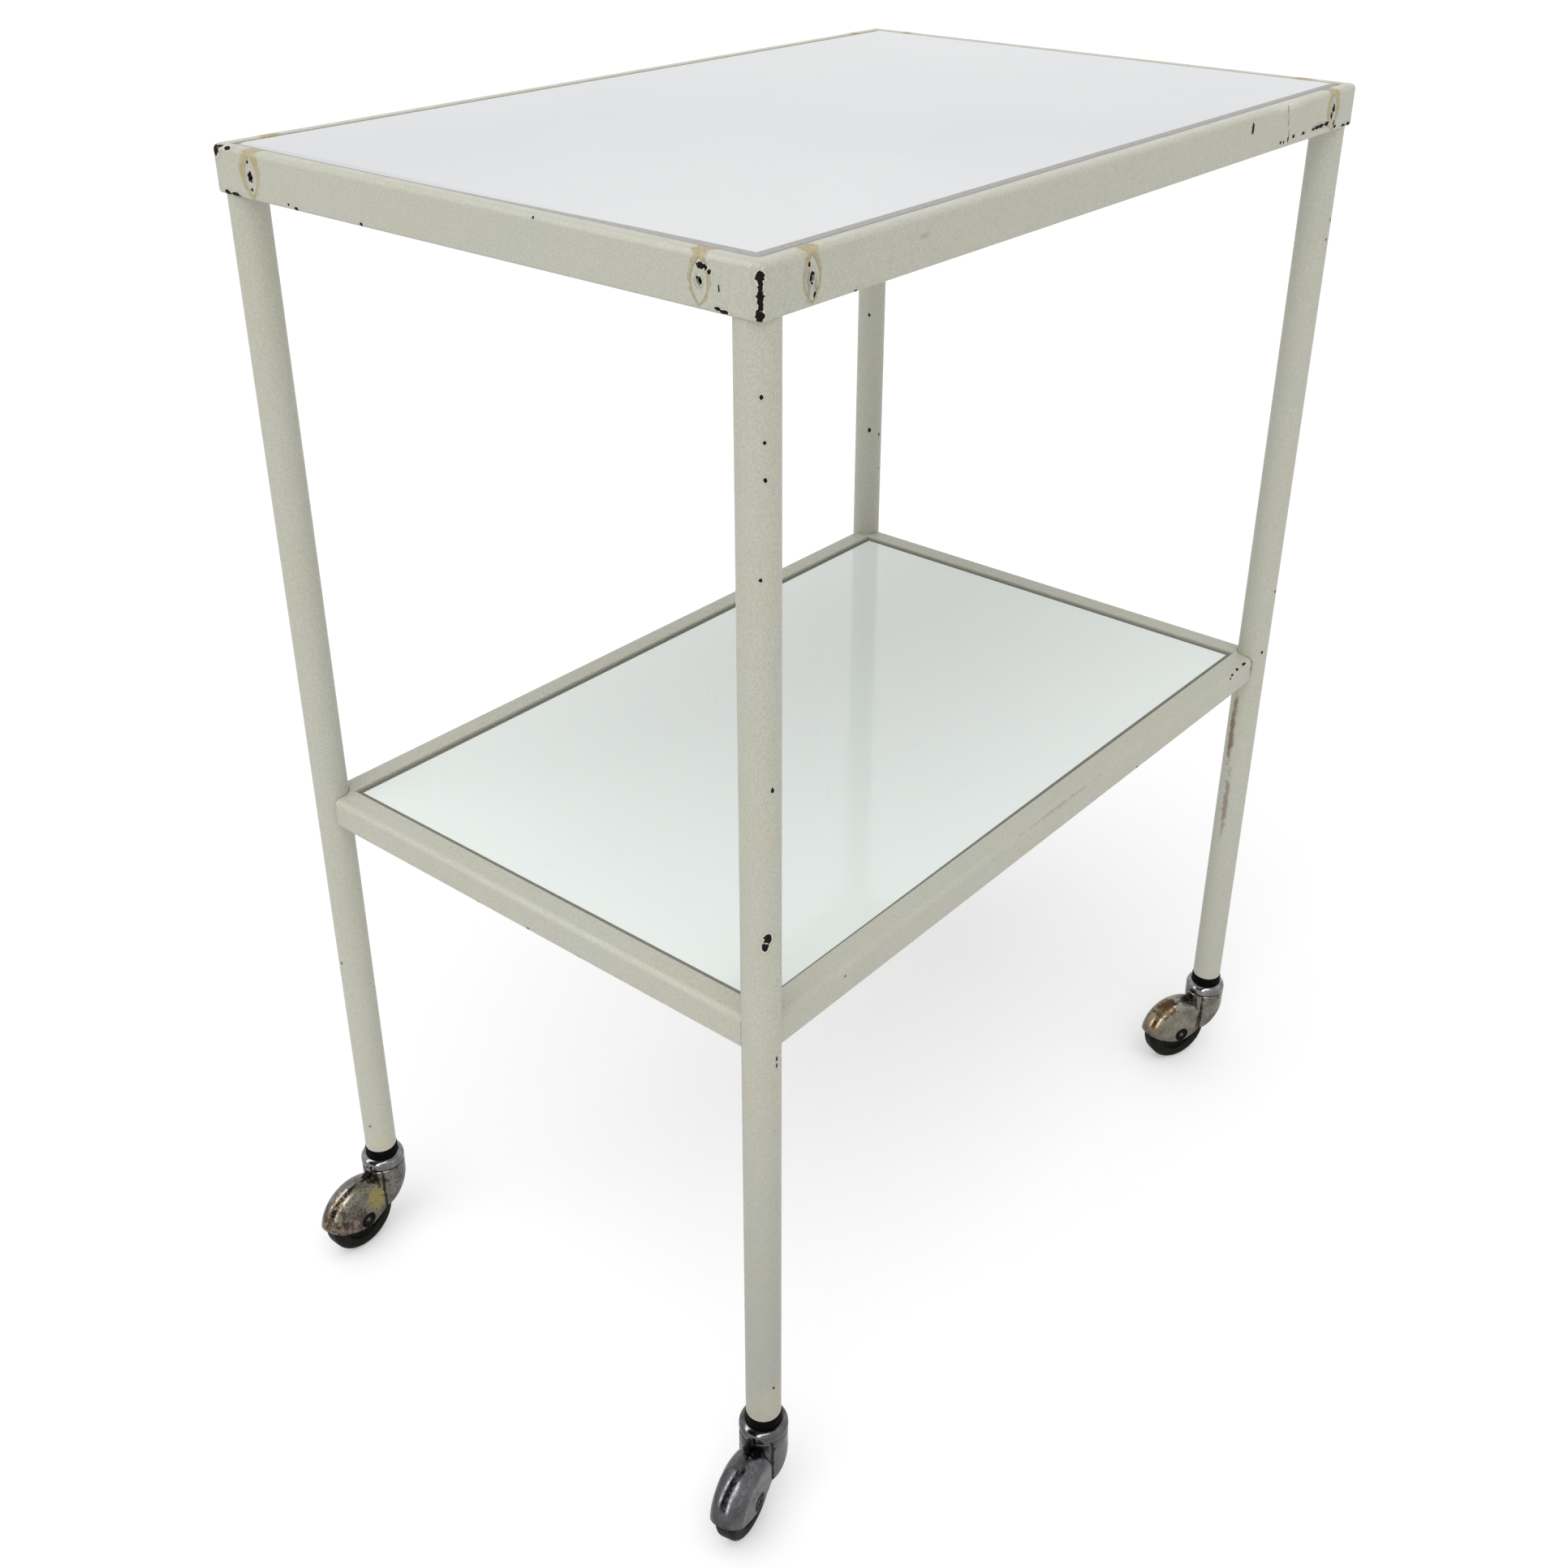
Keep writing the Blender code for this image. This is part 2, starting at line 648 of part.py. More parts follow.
def collar_mesh():
    """The bright ring over the swivel bearing, domed outside."""
    skirt_top = COLLAR_BOTTOM + COLLAR_SKIRT
    tall = COLLAR_HEIGHT - COLLAR_SKIRT
    profile = [
        (COLLAR_OPENING_RADIUS + COLLAR_WIDTH * math.sin(turn), skirt_top + tall * math.cos(turn))
        for turn in quarter_turns(COLLAR_DOME_STEPS)
    ]
    profile.append((COLLAR_RADIUS, COLLAR_BOTTOM))
    profile.append((COLLAR_OPENING_RADIUS, COLLAR_BOTTOM))
    return smooth(turned(profile, ROUND_STEPS))


def stem_mesh():
    """The swivel pin with its bearing race above the hood and its head inside it."""
    top = LEG_END + STEM_TOP_ABOVE_LEG_END
    head = NECK_TOP - HOOD_WALL - GAP
    return smooth(turned([
        (0.0, top),
        (STEM_RADIUS, top),
        (STEM_RADIUS, RACE_TOP),
        (FLANGE_RADIUS, RACE_TOP),
        (FLANGE_RADIUS, COLLAR_BOTTOM - GAP),
        (SEAT_RADIUS, COLLAR_BOTTOM - GAP),
        (SEAT_RADIUS, NECK_TOP + GAP),
        (STEM_RADIUS, NECK_TOP + GAP),
        (STEM_RADIUS, head),
        (STEM_HEAD_RADIUS, head),
        (STEM_HEAD_RADIUS, head - STEM_HEAD_THICKNESS),
        (0.0, head - STEM_HEAD_THICKNESS),
    ], FINE_STEPS))


def on_axle():
    """Lays a shape turned about Z along the wheel axle, in the caster's frame."""
    place = Matrix.Translation((CASTER_TRAIL, 0.0, AXLE_HEIGHT))
    return place @ Matrix.Rotation(math.pi / 2, 4, "X")


def hood_form(offset, disc_steps, neck_steps, shoulder_steps):
    """The hood's outer form, or its inner one, offset inward: a neck and a disc."""
    radius = NECK_RADIUS - offset
    top = NECK_TOP - offset
    edge = max(NECK_EDGE_RADIUS - offset, GAP)
    rounded = arc((radius - edge, top - edge), edge, math.pi / 2, 0.0, ARC_STEPS)
    neck = turned([(0.0, top)] + rounded + [(radius, -edge), (0.0, -edge)], neck_steps)
    crown = HOOD_CROWN_RADIUS - offset
    half_width = HOOD_HALF_WIDTH - offset
    flat = crown - HOOD_SHOULDER_DEPTH
    shoulder = [
        (flat + HOOD_SHOULDER_DEPTH * math.sin(turn), half_width * math.cos(turn))
        for turn in quarter_turns(shoulder_steps)
    ]
    lower = [(x, -y) for x, y in reversed(shoulder[:-1])]
    disc = turned([(0.0, half_width)] + shoulder + lower + [(0.0, -half_width)], disc_steps)
    disc.transform(on_axle())
    return neck, disc


def hood_mesh():
    """Neck and wheel cover in one shell, open below an S-shaped lip."""
    neck, disc = hood_form(0.0, HOOD_STEPS, ROUND_STEPS, HOOD_SHOULDER_STEPS)
    outside = combine(neck, [disc], "UNION")
    inner_neck, inner_disc = hood_form(HOOD_WALL, FINE_STEPS, FINE_STEPS, HOOD_SHOULDER_STEPS - 1)
    inside = combine(inner_neck, [inner_disc], "UNION")
    reach = HOOD_HALF_WIDTH + GAP
    axle_hole = rod(AXLE_HEAD_RADIUS + GAP, -reach, reach)
    axle_hole.transform(on_axle())
    stem_hole = rod(STEM_RADIUS + GAP, NECK_TOP - 2 * HOOD_WALL, NECK_TOP + HOOD_WALL)
    return smooth(combine(outside, [inside, lip_cutter(), axle_hole, stem_hole], "DIFFERENCE"))


def lip_cutter():
    """Removes the hood below its lip, a curve in the plane of the wheel."""
    rise = bezier_points(LIP_BACK, LIP_BACK_HANDLE, LIP_LOW_HANDLE, LIP_LOW)
    run = bezier_points(LIP_LOW, LIP_FRONT_HANDLE, LIP_END_HANDLE, LIP_END)
    below = [(LIP_END[0], -HOOD_CROWN_RADIUS), (LIP_BACK[0], -HOOD_CROWN_RADIUS)]
    outline = [(x, z + AXLE_HEIGHT) for x, z in rise[:-1] + run + below]
    cutter = prism([outline], -2 * NECK_RADIUS, 2 * NECK_RADIUS)
    cutter.transform(Matrix.Rotation(math.pi / 2, 4, "X"))
    return cutter


def bezier_points(start, first_handle, second_handle, end, steps=LIP_STEPS):
    points = []
    for i in range(steps + 1):
        t = i / steps
        weights = ((1 - t) ** 3, 3 * t * (1 - t) ** 2, 3 * t * t * (1 - t), t ** 3)
        knots = (start, first_handle, second_handle, end)
        points.append(tuple(sum(w * knot[axis] for w, knot in zip(weights, knots)) for axis in (0, 1)))
    return points


def axle_mesh():
    """The axle; its heads fill the holes in the hood's cheeks. Turned about Z."""
    low = HOOD_HALF_WIDTH - HOOD_WALL
    top = HOOD_HALF_WIDTH + AXLE_HEAD_PROUD
    half = [(0.0, top), (AXLE_HEAD_RADIUS, top), (AXLE_HEAD_RADIUS, low), (AXLE_RADIUS, low)]
    lower = [(x, -y) for x, y in reversed(half)]
    return smooth(turned(half + lower, FINE_STEPS))


def wheel_mesh():
    """A solid wheel, turned about Z: hub, web, rim and a rounded tread."""
    rim = WHEEL_RADIUS - WHEEL_RIM_DEPTH
    half = [
        (AXLE_RADIUS + AXLE_RUNNING_GAP, HUB_HALF_LENGTH),
        (HUB_RADIUS, HUB_HALF_LENGTH),
        (HUB_RADIUS, WHEEL_WEB_HALF_WIDTH),
        (rim, WHEEL_WEB_HALF_WIDTH),
        (rim, TREAD_HALF_WIDTH),
    ]
    across = TREAD_HALF_WIDTH - TREAD_FLAT_HALF_WIDTH
    for turn in quarter_turns(ARC_STEPS):
        radius = WHEEL_RADIUS - TREAD_SHOULDER * (1 - math.sin(turn))
        half.append((radius, TREAD_FLAT_HALF_WIDTH + across * math.cos(turn)))
    lower = [(x, -y) for x, y in reversed(half)]
    return smooth(turned(half + lower, WHEEL_STEPS))


# ---------------------------------------------------------------- assembly
def add_top_frame(paint, steel):
    long_rail = top_rail_mesh(2 * (OUTER_X - CORNER_ARM) - GAP)
    short_rail = top_rail_mesh(2 * (OUTER_Y - CORNER_ARM) - GAP)
    shapes = {"front": long_rail, "back": long_rail, "left": short_rail, "right": short_rail}
    for side, shape in shapes.items():
        place = along_side(side, OUTER_X, OUTER_Y, TOP_BOTTOM)
        add_object(f"top_rail_{side}", shape, paint, place)
    corner = corner_mesh()
    for name, (sx, sy) in LEGS.items():
        turn = math.atan2(-sy, -sx) - math.pi / 4
        place = Matrix.Translation((sx * OUTER_X, sy * OUTER_Y, TOP_BOTTOM)) @ Matrix.Rotation(turn, 4, "Z")
        add_object(f"top_corner_{name}", corner, paint, place)
    add_joint_plates(paint, steel)


def add_joint_plates(paint, steel):
    plate = plate_mesh()
    rivet = rivet_mesh()
    height = TOP_HEIGHT - LENS_BELOW_TOP
    for name, (sx, sy) in LEGS.items():
        faces = {
            "long_side": ((sx * (OUTER_X - CORNER_ARM), sy * OUTER_Y, height), (0, sy, 0)),
            "short_side": ((sx * OUTER_X, sy * (OUTER_Y - CORNER_ARM), height), (sx, 0, 0)),
        }
        for side, (position, outward) in faces.items():
            place = Matrix.Translation(position) @ upright_facing(outward)
            add_object(f"joint_plate_{name}_{side}", plate, paint, place)
            add_object(f"joint_rivet_{name}_{side}", rivet, steel, place)


def upright_facing(outward):
    """Matrix whose z looks outward and whose y is up."""
    normal = Vector(outward)
    up = Vector((0, 0, 1))
    return Matrix((up.cross(normal), up, normal)).transposed().to_4x4()


def add_shelf_frame(paint):
    long_rail = shelf_rail_mesh(LEG_SPACING_X)
    short_rail = shelf_rail_mesh(LEG_SPACING_Y)
    outer_x = HALF_X + SHELF_RAIL_OVERHANG
    outer_y = HALF_Y + SHELF_RAIL_OVERHANG
    shapes = {"front": long_rail, "back": long_rail, "left": short_rail, "right": short_rail}
    for side, shape in shapes.items():
        place = along_side(side, outer_x, outer_y, SHELF_BOTTOM)
        add_object(f"shelf_rail_{side}", shape, paint, place)


def add_legs(paint):
    mesh = leg_mesh()
    for name, (sx, sy) in LEGS.items():
        add_object(f"leg_{name}", mesh, paint, Matrix.Translation((sx * HALF_X, sy * HALF_Y, 0.0)))


def add_glass(top_glass, shelf_glass):
    inset = TOP_RAIL_WIDTH + TOP_GLASS_GAP
    mesh = glass_mesh(OUTER_X - inset, OUTER_Y - inset, TOP_GLASS_THICKNESS, TOP_GLASS_EDGE_RADIUS)
    surface = TOP_HEIGHT + TOP_GLASS_PROUD
    add_object("top_glass", mesh, top_glass, Matrix.Translation((0.0, 0.0, surface)))
    inset = SHELF_RAIL_WIDTH - SHELF_RAIL_OVERHANG + SHELF_GLASS_GAP
    mesh = glass_mesh(
        HALF_X - inset, HALF_Y - inset, SHELF_GLASS_THICKNESS, SHELF_GLASS_EDGE_RADIUS)
    surface = SHELF_HEIGHT - SHELF_GLASS_SUNK
    add_object("shelf_glass", mesh, shelf_glass, Matrix.Translation((0.0, 0.0, surface)))


def add_casters(chrome, plastic, rubber, steel):
    plug = plug_mesh()
    stem = stem_mesh()
    collar = collar_mesh()
    hood = hood_mesh()
    axle = axle_mesh()
    wheel = wheel_mesh()
    lay_down = Matrix.Rotation(math.pi / 2, 4, "X")
    for name, (sx, sy) in LEGS.items():
        under_leg = Matrix.Translation((sx * HALF_X, sy * HALF_Y, 0.0))
        add_object(f"caster_plug_{name}", plug, plastic, under_leg)
        add_object(f"caster_stem_{name}", stem, steel, under_leg)
        add_object(f"caster_collar_{name}", collar, chrome, under_leg)
        yaw = math.radians(CASTER_YAW[name])
        swivel = add_empty(f"swivel_axis_{name}", (sx * HALF_X, sy * HALF_Y, 0.0), yaw)
        spin = add_empty(f"spin_axis_{name}", (CASTER_TRAIL, 0.0, AXLE_HEIGHT), 0.0, swivel)
        add_object(f"caster_hood_{name}", hood, chrome, None, swivel)
        add_object(f"caster_axle_{name}", axle, steel, on_axle(), swivel)
        add_object(f"caster_wheel_{name}", wheel, rubber, lay_down, spin)


def main():
    clear_scene()
    make_collection(PART_COLLECTION)
    make_collection(CUTTER_COLLECTION)
    paint = make_material("cream_enamel", (0.60, 0.585, 0.515), 0.35)
    top_glass = make_material("white_opal_glass", (0.82, 0.83, 0.85), 0.08)
    shelf_glass = make_material("greenish_opal_glass", (0.70, 0.74, 0.71), 0.08)
    chrome = make_material("tarnished_chrome", (0.55, 0.54, 0.52), 0.22, 1.0)
    steel = make_material("bare_steel", (0.35, 0.34, 0.32), 0.40, 1.0)
    plastic = make_material("black_plastic", (0.015, 0.015, 0.015), 0.45)
    rubber = make_material("black_rubber", (0.012, 0.012, 0.012), 0.60)
    add_top_frame(paint, steel)
    add_shelf_frame(paint)
    add_legs(paint)
    add_glass(top_glass, shelf_glass)
    add_casters(chrome, plastic, rubber, steel)


main()
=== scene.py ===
"""Looks of the wheeled instrument table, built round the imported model."""
import math

import bmesh
import bpy
from mathutils import Matrix, Vector


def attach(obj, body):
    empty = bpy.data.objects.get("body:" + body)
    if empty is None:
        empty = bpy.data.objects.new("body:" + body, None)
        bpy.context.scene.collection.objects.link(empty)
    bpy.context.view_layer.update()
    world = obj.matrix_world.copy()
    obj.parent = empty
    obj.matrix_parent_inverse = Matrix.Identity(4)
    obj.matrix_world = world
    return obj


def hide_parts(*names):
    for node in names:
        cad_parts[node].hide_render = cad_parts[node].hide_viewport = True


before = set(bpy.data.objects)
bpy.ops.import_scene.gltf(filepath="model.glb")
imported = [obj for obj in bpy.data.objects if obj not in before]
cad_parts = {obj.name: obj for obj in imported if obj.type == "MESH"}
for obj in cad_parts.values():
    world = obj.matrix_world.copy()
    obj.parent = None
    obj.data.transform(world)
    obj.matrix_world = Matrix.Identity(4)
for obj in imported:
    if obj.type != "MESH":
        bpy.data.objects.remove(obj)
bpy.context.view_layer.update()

# ---------------------------------------------------------------- sizes, in millimetres
HALF_X, HALF_Y = 288.0, 185.0           # leg axes
OUTER_X, OUTER_Y = 300.0, 197.0         # outer faces of the top frame
TOP, TOP_LOW = 791.0, 765.0
TOP_WIDTH, TOP_RADIUS, TOP_LOWER_RADIUS = 8.0, 3.0, 1.5
ARM = 35.0                              # outer face to the joint
JOINT_HEIGHT = 777.6                    # centre of the lens-shaped plates
PLATE_WIDTH, PLATE_HEIGHT = 9.5, 20.5
PLATE_SEAT = 1.2                        # depth of the plate's pocket
EYELET_RADIUS, EYELET_LENGTH = 2.95, 5.4
LEDGE_REACH, LEDGE_THICK = 9.0, 1.5
SHELF_TOP, SHELF_LOW = 378.0, 356.5
SHELF_WIDTH, SHELF_RADIUS = 16.2, 4.0
SHELF_OUT = 5.6                         # outer face beyond the leg's axis
LEG_RADIUS, LEG_LOW, LEG_HIGH = 11.0, 75.87, 779.7
SEAM = 0.4                              # open seam round the legs in both frames
TOP_GLASS = (291.0, 188.0, 5.0, 791.19)  # half length, half width, thickness, surface
GROUND_EDGE, GROUND_DROP = 4.3, 1.1     # the ground bevel round the top glass
SHELF_GLASS = (276.6, 173.6, 4.0, 375.8)
SHELF_SHADE_AND_GRIME = 3.1                       # width of a dark band round the shelf glass: painted shadow of its gap to the rails, with dirt
TRAIL, AXLE_HEIGHT = 27.0, 26.27
CROWN, HALF_WIDTH, SHOULDER, WALL = 31.0, 11.35, 10.8, 1.2    # the hood's drum round the wheel
AXLE_HOLE, STEM_HOLE = 4.6, 4.3
STEM_RADIUS, STEM_LOW, STEM_HIGH, FOOT_RADIUS, RACE_RADIUS = 4.0, 56.3, 91.9, 6.5, 13.5
BUSH_RADIUS, BUSH_LOW, BUSH_HIGH = 11.6, 67.6, 97.8
NECK_RADIUS, NECK_TOP = 15.3, 60.47
COLLAR_LOW, COLLAR_HIGH, COLLAR_IN, COLLAR_OUT = 61.67, 68.87, 11.9, 15.5
LEGS = {"front_left": (-1, -1), "front_right": (1, -1), "back_left": (-1, 1), "back_right": (1, 1)}
YAW = {"front_left": 192.7, "front_right": 154.1, "back_left": 180.6, "back_right": 12.7}
# The hood's lower lip seen from the side, from the axle, as two Bezier curves.
LIP = (
    ((-19.4, 30.0), (-5.0, 20.5), (9.0, -5.9), (27.0, -5.9)),
    ((27.0, -5.9), (38.0, -5.9), (48.0, 1.5), (60.0, 7.0)),
)


# ---------------------------------------------------------------- shape helpers
def arc(center, radius, start, end, steps):
    return [
        (center[0] + radius * math.cos(start + (end - start) * i / steps),
         center[1] + radius * math.sin(start + (end - start) * i / steps))
        for i in range(steps + 1)
    ]


def rounded(corners, steps=6):
    """An outline from (x, y, radius) corners."""
    points = []
    for i, (x, y, radius) in enumerate(corners):
        if radius <= 0.0:
            points.append((x, y))
            continue
        here = Vector((x, y))
        before = (Vector(corners[i - 1][:2]) - here).normalized()
        after = (Vector(corners[(i + 1) % len(corners)][:2]) - here).normalized()
        half = before.angle(after) / 2
        center = here + (before + after).normalized() * (radius / math.sin(half))
        first = here + before * (radius / math.tan(half)) - center
        last = here + after * (radius / math.tan(half)) - center
        turn = first.angle_signed(last)
        for step in range(steps + 1):
            spoke = first.copy()
            spoke.rotate(Matrix.Rotation(-turn * step / steps, 2))
            points.append(tuple(center + spoke))
    return points


def lens_arcs(width, height):
    """Radius of a pointed oval's two arcs, and how far their centres lie off its middle."""
    radius = (height ** 2 + width ** 2) / (4 * width)
    return radius, radius - width / 2


def lens(width, height, steps=14):
    """A pointed oval, upright, made of two equal arcs."""
    radius, offset = lens_arcs(width, height)
    half = math.asin(height / 2 / radius)
    right = arc((-offset, 0.0), radius, -half, half, steps)
    left = arc((offset, 0.0), radius, math.pi - half, math.pi + half, steps)
    return right[:-1] + left[:-1]


def closed(work, name):
    mesh = bpy.data.meshes.new(name)
    bmesh.ops.recalc_face_normals(work, faces=work.faces)
    work.to_mesh(mesh)
    work.free()
    return mesh


def extruded(outline, low, high):
    work = bmesh.new()
    rings = [[work.verts.new((x, y, z)) for x, y in outline] for z in (low, high)]
    count = len(outline)
    for i in range(count):
        j = (i + 1) % count
        work.faces.new((rings[0][i], rings[0][j], rings[1][j], rings[1][i]))
    work.faces.new(rings[0][::-1])
    work.faces.new(rings[1])
    return closed(work, "extruded")


def turned(profile, steps):
    """Revolve a (radius, height) profile about Z; open ends lie on the axis or it is a ring."""
    work = bmesh.new()
    columns = []
    for step in range(steps):
        angle = 2 * math.pi * step / steps
        columns.append([
            work.verts.new((radius * math.cos(angle), radius * math.sin(angle), height))
            if radius > 1e-6 or step == 0 else columns[0][i]
            for i, (radius, height) in enumerate(profile)
        ])
    ring = profile[0][0] > 1e-6
    pairs = list(zip(range(len(profile) - 1), range(1, len(profile))))
    if ring:
        pairs.append((len(profile) - 1, 0))
    for step in range(steps):
        here, there = columns[step], columns[(step + 1) % steps]
        for i, j in pairs:
            corners = []
            for vert in (here[i], there[i], there[j], here[j]):
                if vert not in corners:
                    corners.append(vert)
            if len(corners) > 2:
                work.faces.new(corners)
    return closed(work, "turned")


def cylinder(radius, low, high, steps):
    return turned([(0.0, low), (radius, low), (radius, high), (0.0, high)], steps)


def combined(base, tools, operation):
    """Boolean by the exact solver, one tool after another."""
    target = bpy.data.objects.new("target", base)
    bpy.context.scene.collection.objects.link(target)
    others = []
    for tool in tools:
        other = bpy.data.objects.new("tool", tool)
        bpy.context.scene.collection.objects.link(other)
        others.append(other)
        modifier = target.modifiers.new("combine", "BOOLEAN")
        modifier.operation = operation
        modifier.solver = "EXACT"
        modifier.object = other
    bpy.context.view_layer.update()
    shown = target.evaluated_get(bpy.context.evaluated_depsgraph_get())
    mesh = bpy.data.meshes.new_from_object(shown)
    for obj in [target] + others:
        bpy.data.objects.remove(obj, do_unlink=True)
    return mesh


def bevelled(mesh, test, width, steps):
    """Round the edges whose two ends both pass the test."""
    work = bmesh.new()
    work.from_mesh(mesh)
    chosen = [
        edge for edge in work.edges
        if edge.calc_face_angle(0.0) > math.radians(30) and all(test(v.co) for v in edge.verts)
    ]
    bmesh.ops.bevel(work, geom=chosen, offset=width, segments=steps, profile=0.5, affect="EDGES")
    work.to_mesh(mesh)
    work.free()
    return mesh


def piece(name, mesh, body, material, nodes=(), flat_angle=35.0):
    """Add a mesh in millimetres as a named piece on a body, standing for CAD nodes."""
    mesh.transform(Matrix.Scale(0.001, 4))
    mesh.shade_smooth()
    mesh.set_sharp_from_angle(angle=math.radians(flat_angle))
    obj = bpy.data.objects.new(name, mesh)
    bpy.context.scene.collection.objects.link(obj)
    obj.data.materials.clear()
    obj.data.materials.append(material)
    weighted = obj.modifiers.new("normals", "WEIGHTED_NORMAL")
    weighted.keep_sharp = True
    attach(obj, body)
    if nodes:
        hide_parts(*nodes)
    return obj


# ---------------------------------------------------------------- material helpers
class Paint:
    """A Principled material with short calls for its nodes. Lengths are in millimetres."""

    def __init__(self, name, place=None):
        self.material = bpy.data.materials.new(name)
        self.material.use_nodes = True
        self.tree = self.material.node_tree
        self.shader = self.tree.nodes["Principled BSDF"]
        self.split = None
        coordinates = self.tree.nodes.new("ShaderNodeTexCoord")
        self.point = self.vector("SCALE", coordinates.outputs["Object"], scale=1000.0)
        if place is not None:
            # Work in the frame of a part that was placed by this matrix, in millimetres.
            back = place.inverted()
            self.point = self.node("ShaderNodeMapping", {
                "Vector": self.point, "Rotation": tuple(back.to_euler()), "Location": tuple(back.translation),
            }).outputs[0]

    def feed(self, socket, value):
        if isinstance(value, bpy.types.NodeSocket):
            self.tree.links.new(value, socket)
        elif isinstance(value, tuple) and len(value) == 3 and socket.type == "RGBA":
            socket.default_value = (*value, 1.0)
        else:
            socket.default_value = value

    def node(self, kind, inputs=(), **settings):
        node = self.tree.nodes.new(kind)
        for key, value in settings.items():
            setattr(node, key, value)
        for key, value in dict(inputs).items():
            self.feed(node.inputs[key], value)
        return node

    def math(self, operation, first, second=0.0, third=0.0):
        node = self.node("ShaderNodeMath", operation=operation)
        for socket, value in zip(node.inputs, (first, second, third)):
            self.feed(socket, value)
        return node.outputs[0]

    def add(self, first, second):
        return self.math("ADD", first, second)

    def minus(self, first, second):
        return self.math("SUBTRACT", first, second)

    def times(self, first, second):
        return self.math("MULTIPLY", first, second)

    def larger(self, first, second):
        return self.math("MAXIMUM", first, second)

    def unsigned(self, value):
        return self.math("ABSOLUTE", value)

    def vector(self, operation, first, second=None, scale=None):
        node = self.node("ShaderNodeVectorMath", operation=operation)
        self.feed(node.inputs[0], first)
        if second is not None:
            self.feed(node.inputs[1], second)
        if scale is not None:
            self.feed(node.inputs["Scale"], scale)
        return node.outputs["Value" if operation in ("LENGTH", "DISTANCE", "DOT_PRODUCT") else "Vector"]

    def noise(self, size, detail=2.0, roughness=0.5, vector=None, seed=0.0, stretch=None):
        """Noise with features of about that size, centred on 0.5."""
        vector = self.point if vector is None else vector
        if stretch is not None:
            vector = self.vector("MULTIPLY", vector, stretch)
        return self.node("ShaderNodeTexNoise", {
            "Vector": self.vector("ADD", vector, (seed, seed * 0.7, seed * 1.3)),
            "Scale": 1.0 / size, "Detail": detail, "Roughness": roughness,
        }).outputs[0]

    def cells(self, size):
        """Distance to the nearest of scattered points, in spacings, and that point's random number."""
        cells = self.node("ShaderNodeTexVoronoi", {"Vector": self.point, "Scale": 1.0 / size})
        pick = self.node("ShaderNodeSeparateColor", {"Color": cells.outputs["Color"]})
        return cells.outputs["Distance"], pick.outputs[0]

    def step(self, value, low, high, start=0.0, end=1.0):
        node = self.node("ShaderNodeMapRange", {
            "Value": value, "From Min": low, "From Max": high, "To Min": start, "To Max": end,
        }, interpolation_type="SMOOTHSTEP")
        return node.outputs[0]

    def mix(self, factor, first, second):
        node = self.node("ShaderNodeMix", data_type="RGBA")
        self.feed(node.inputs[0], factor)
        self.feed(node.inputs[6], first)
        self.feed(node.inputs[7], second)
        return node.outputs[2]

    def blob(self, center, radii, warp=None):
        """Distance to an ellipsoid's centre in its own radii: 1 on its surface."""
        away = self.vector("SUBTRACT", self.point, center)
        away = self.vector("DIVIDE", away, radii)
        distance = self.vector("LENGTH", away)
        return self.add(distance, warp) if warp is not None else distance

    def nearest(self, distances):
        result = distances[0]
        for other in distances[1:]:
            result = self.math("MINIMUM", result, other)
        return result

    def axis(self, name):
        if self.split is None:
            self.split = self.node("ShaderNodeSeparateXYZ", {"Vector": self.point})
        return self.split.outputs[name]

    def bump(self, height, distance):
        """Add a height in millimetres (before the distance factor) to the shading normal."""
        node = self.node("ShaderNodeBump", {"Height": height, "Distance": distance * 0.001})
        socket = self.shader.inputs["Normal"]
        if socket.is_linked:
            self.tree.links.new(socket.links[0].from_socket, node.inputs["Normal"])
        self.tree.links.new(node.outputs[0], socket)

    def set(self, **values):
        for key, value in values.items():
            self.feed(self.shader.inputs[key.replace("_", " ")], value)
        return self.material


# ---------------------------------------------------------------- enamel
def left(y, z, ry, rz):
    return (-OUTER_X, y, z), (2.4, ry, rz)


def front(x, z, rx, rz):
    return (x, -OUTER_Y, z), (rx, 2.4, rz)


def spot(x, y, z, r, rz=None):
    return (x, y, z), (r, r, rz or r)


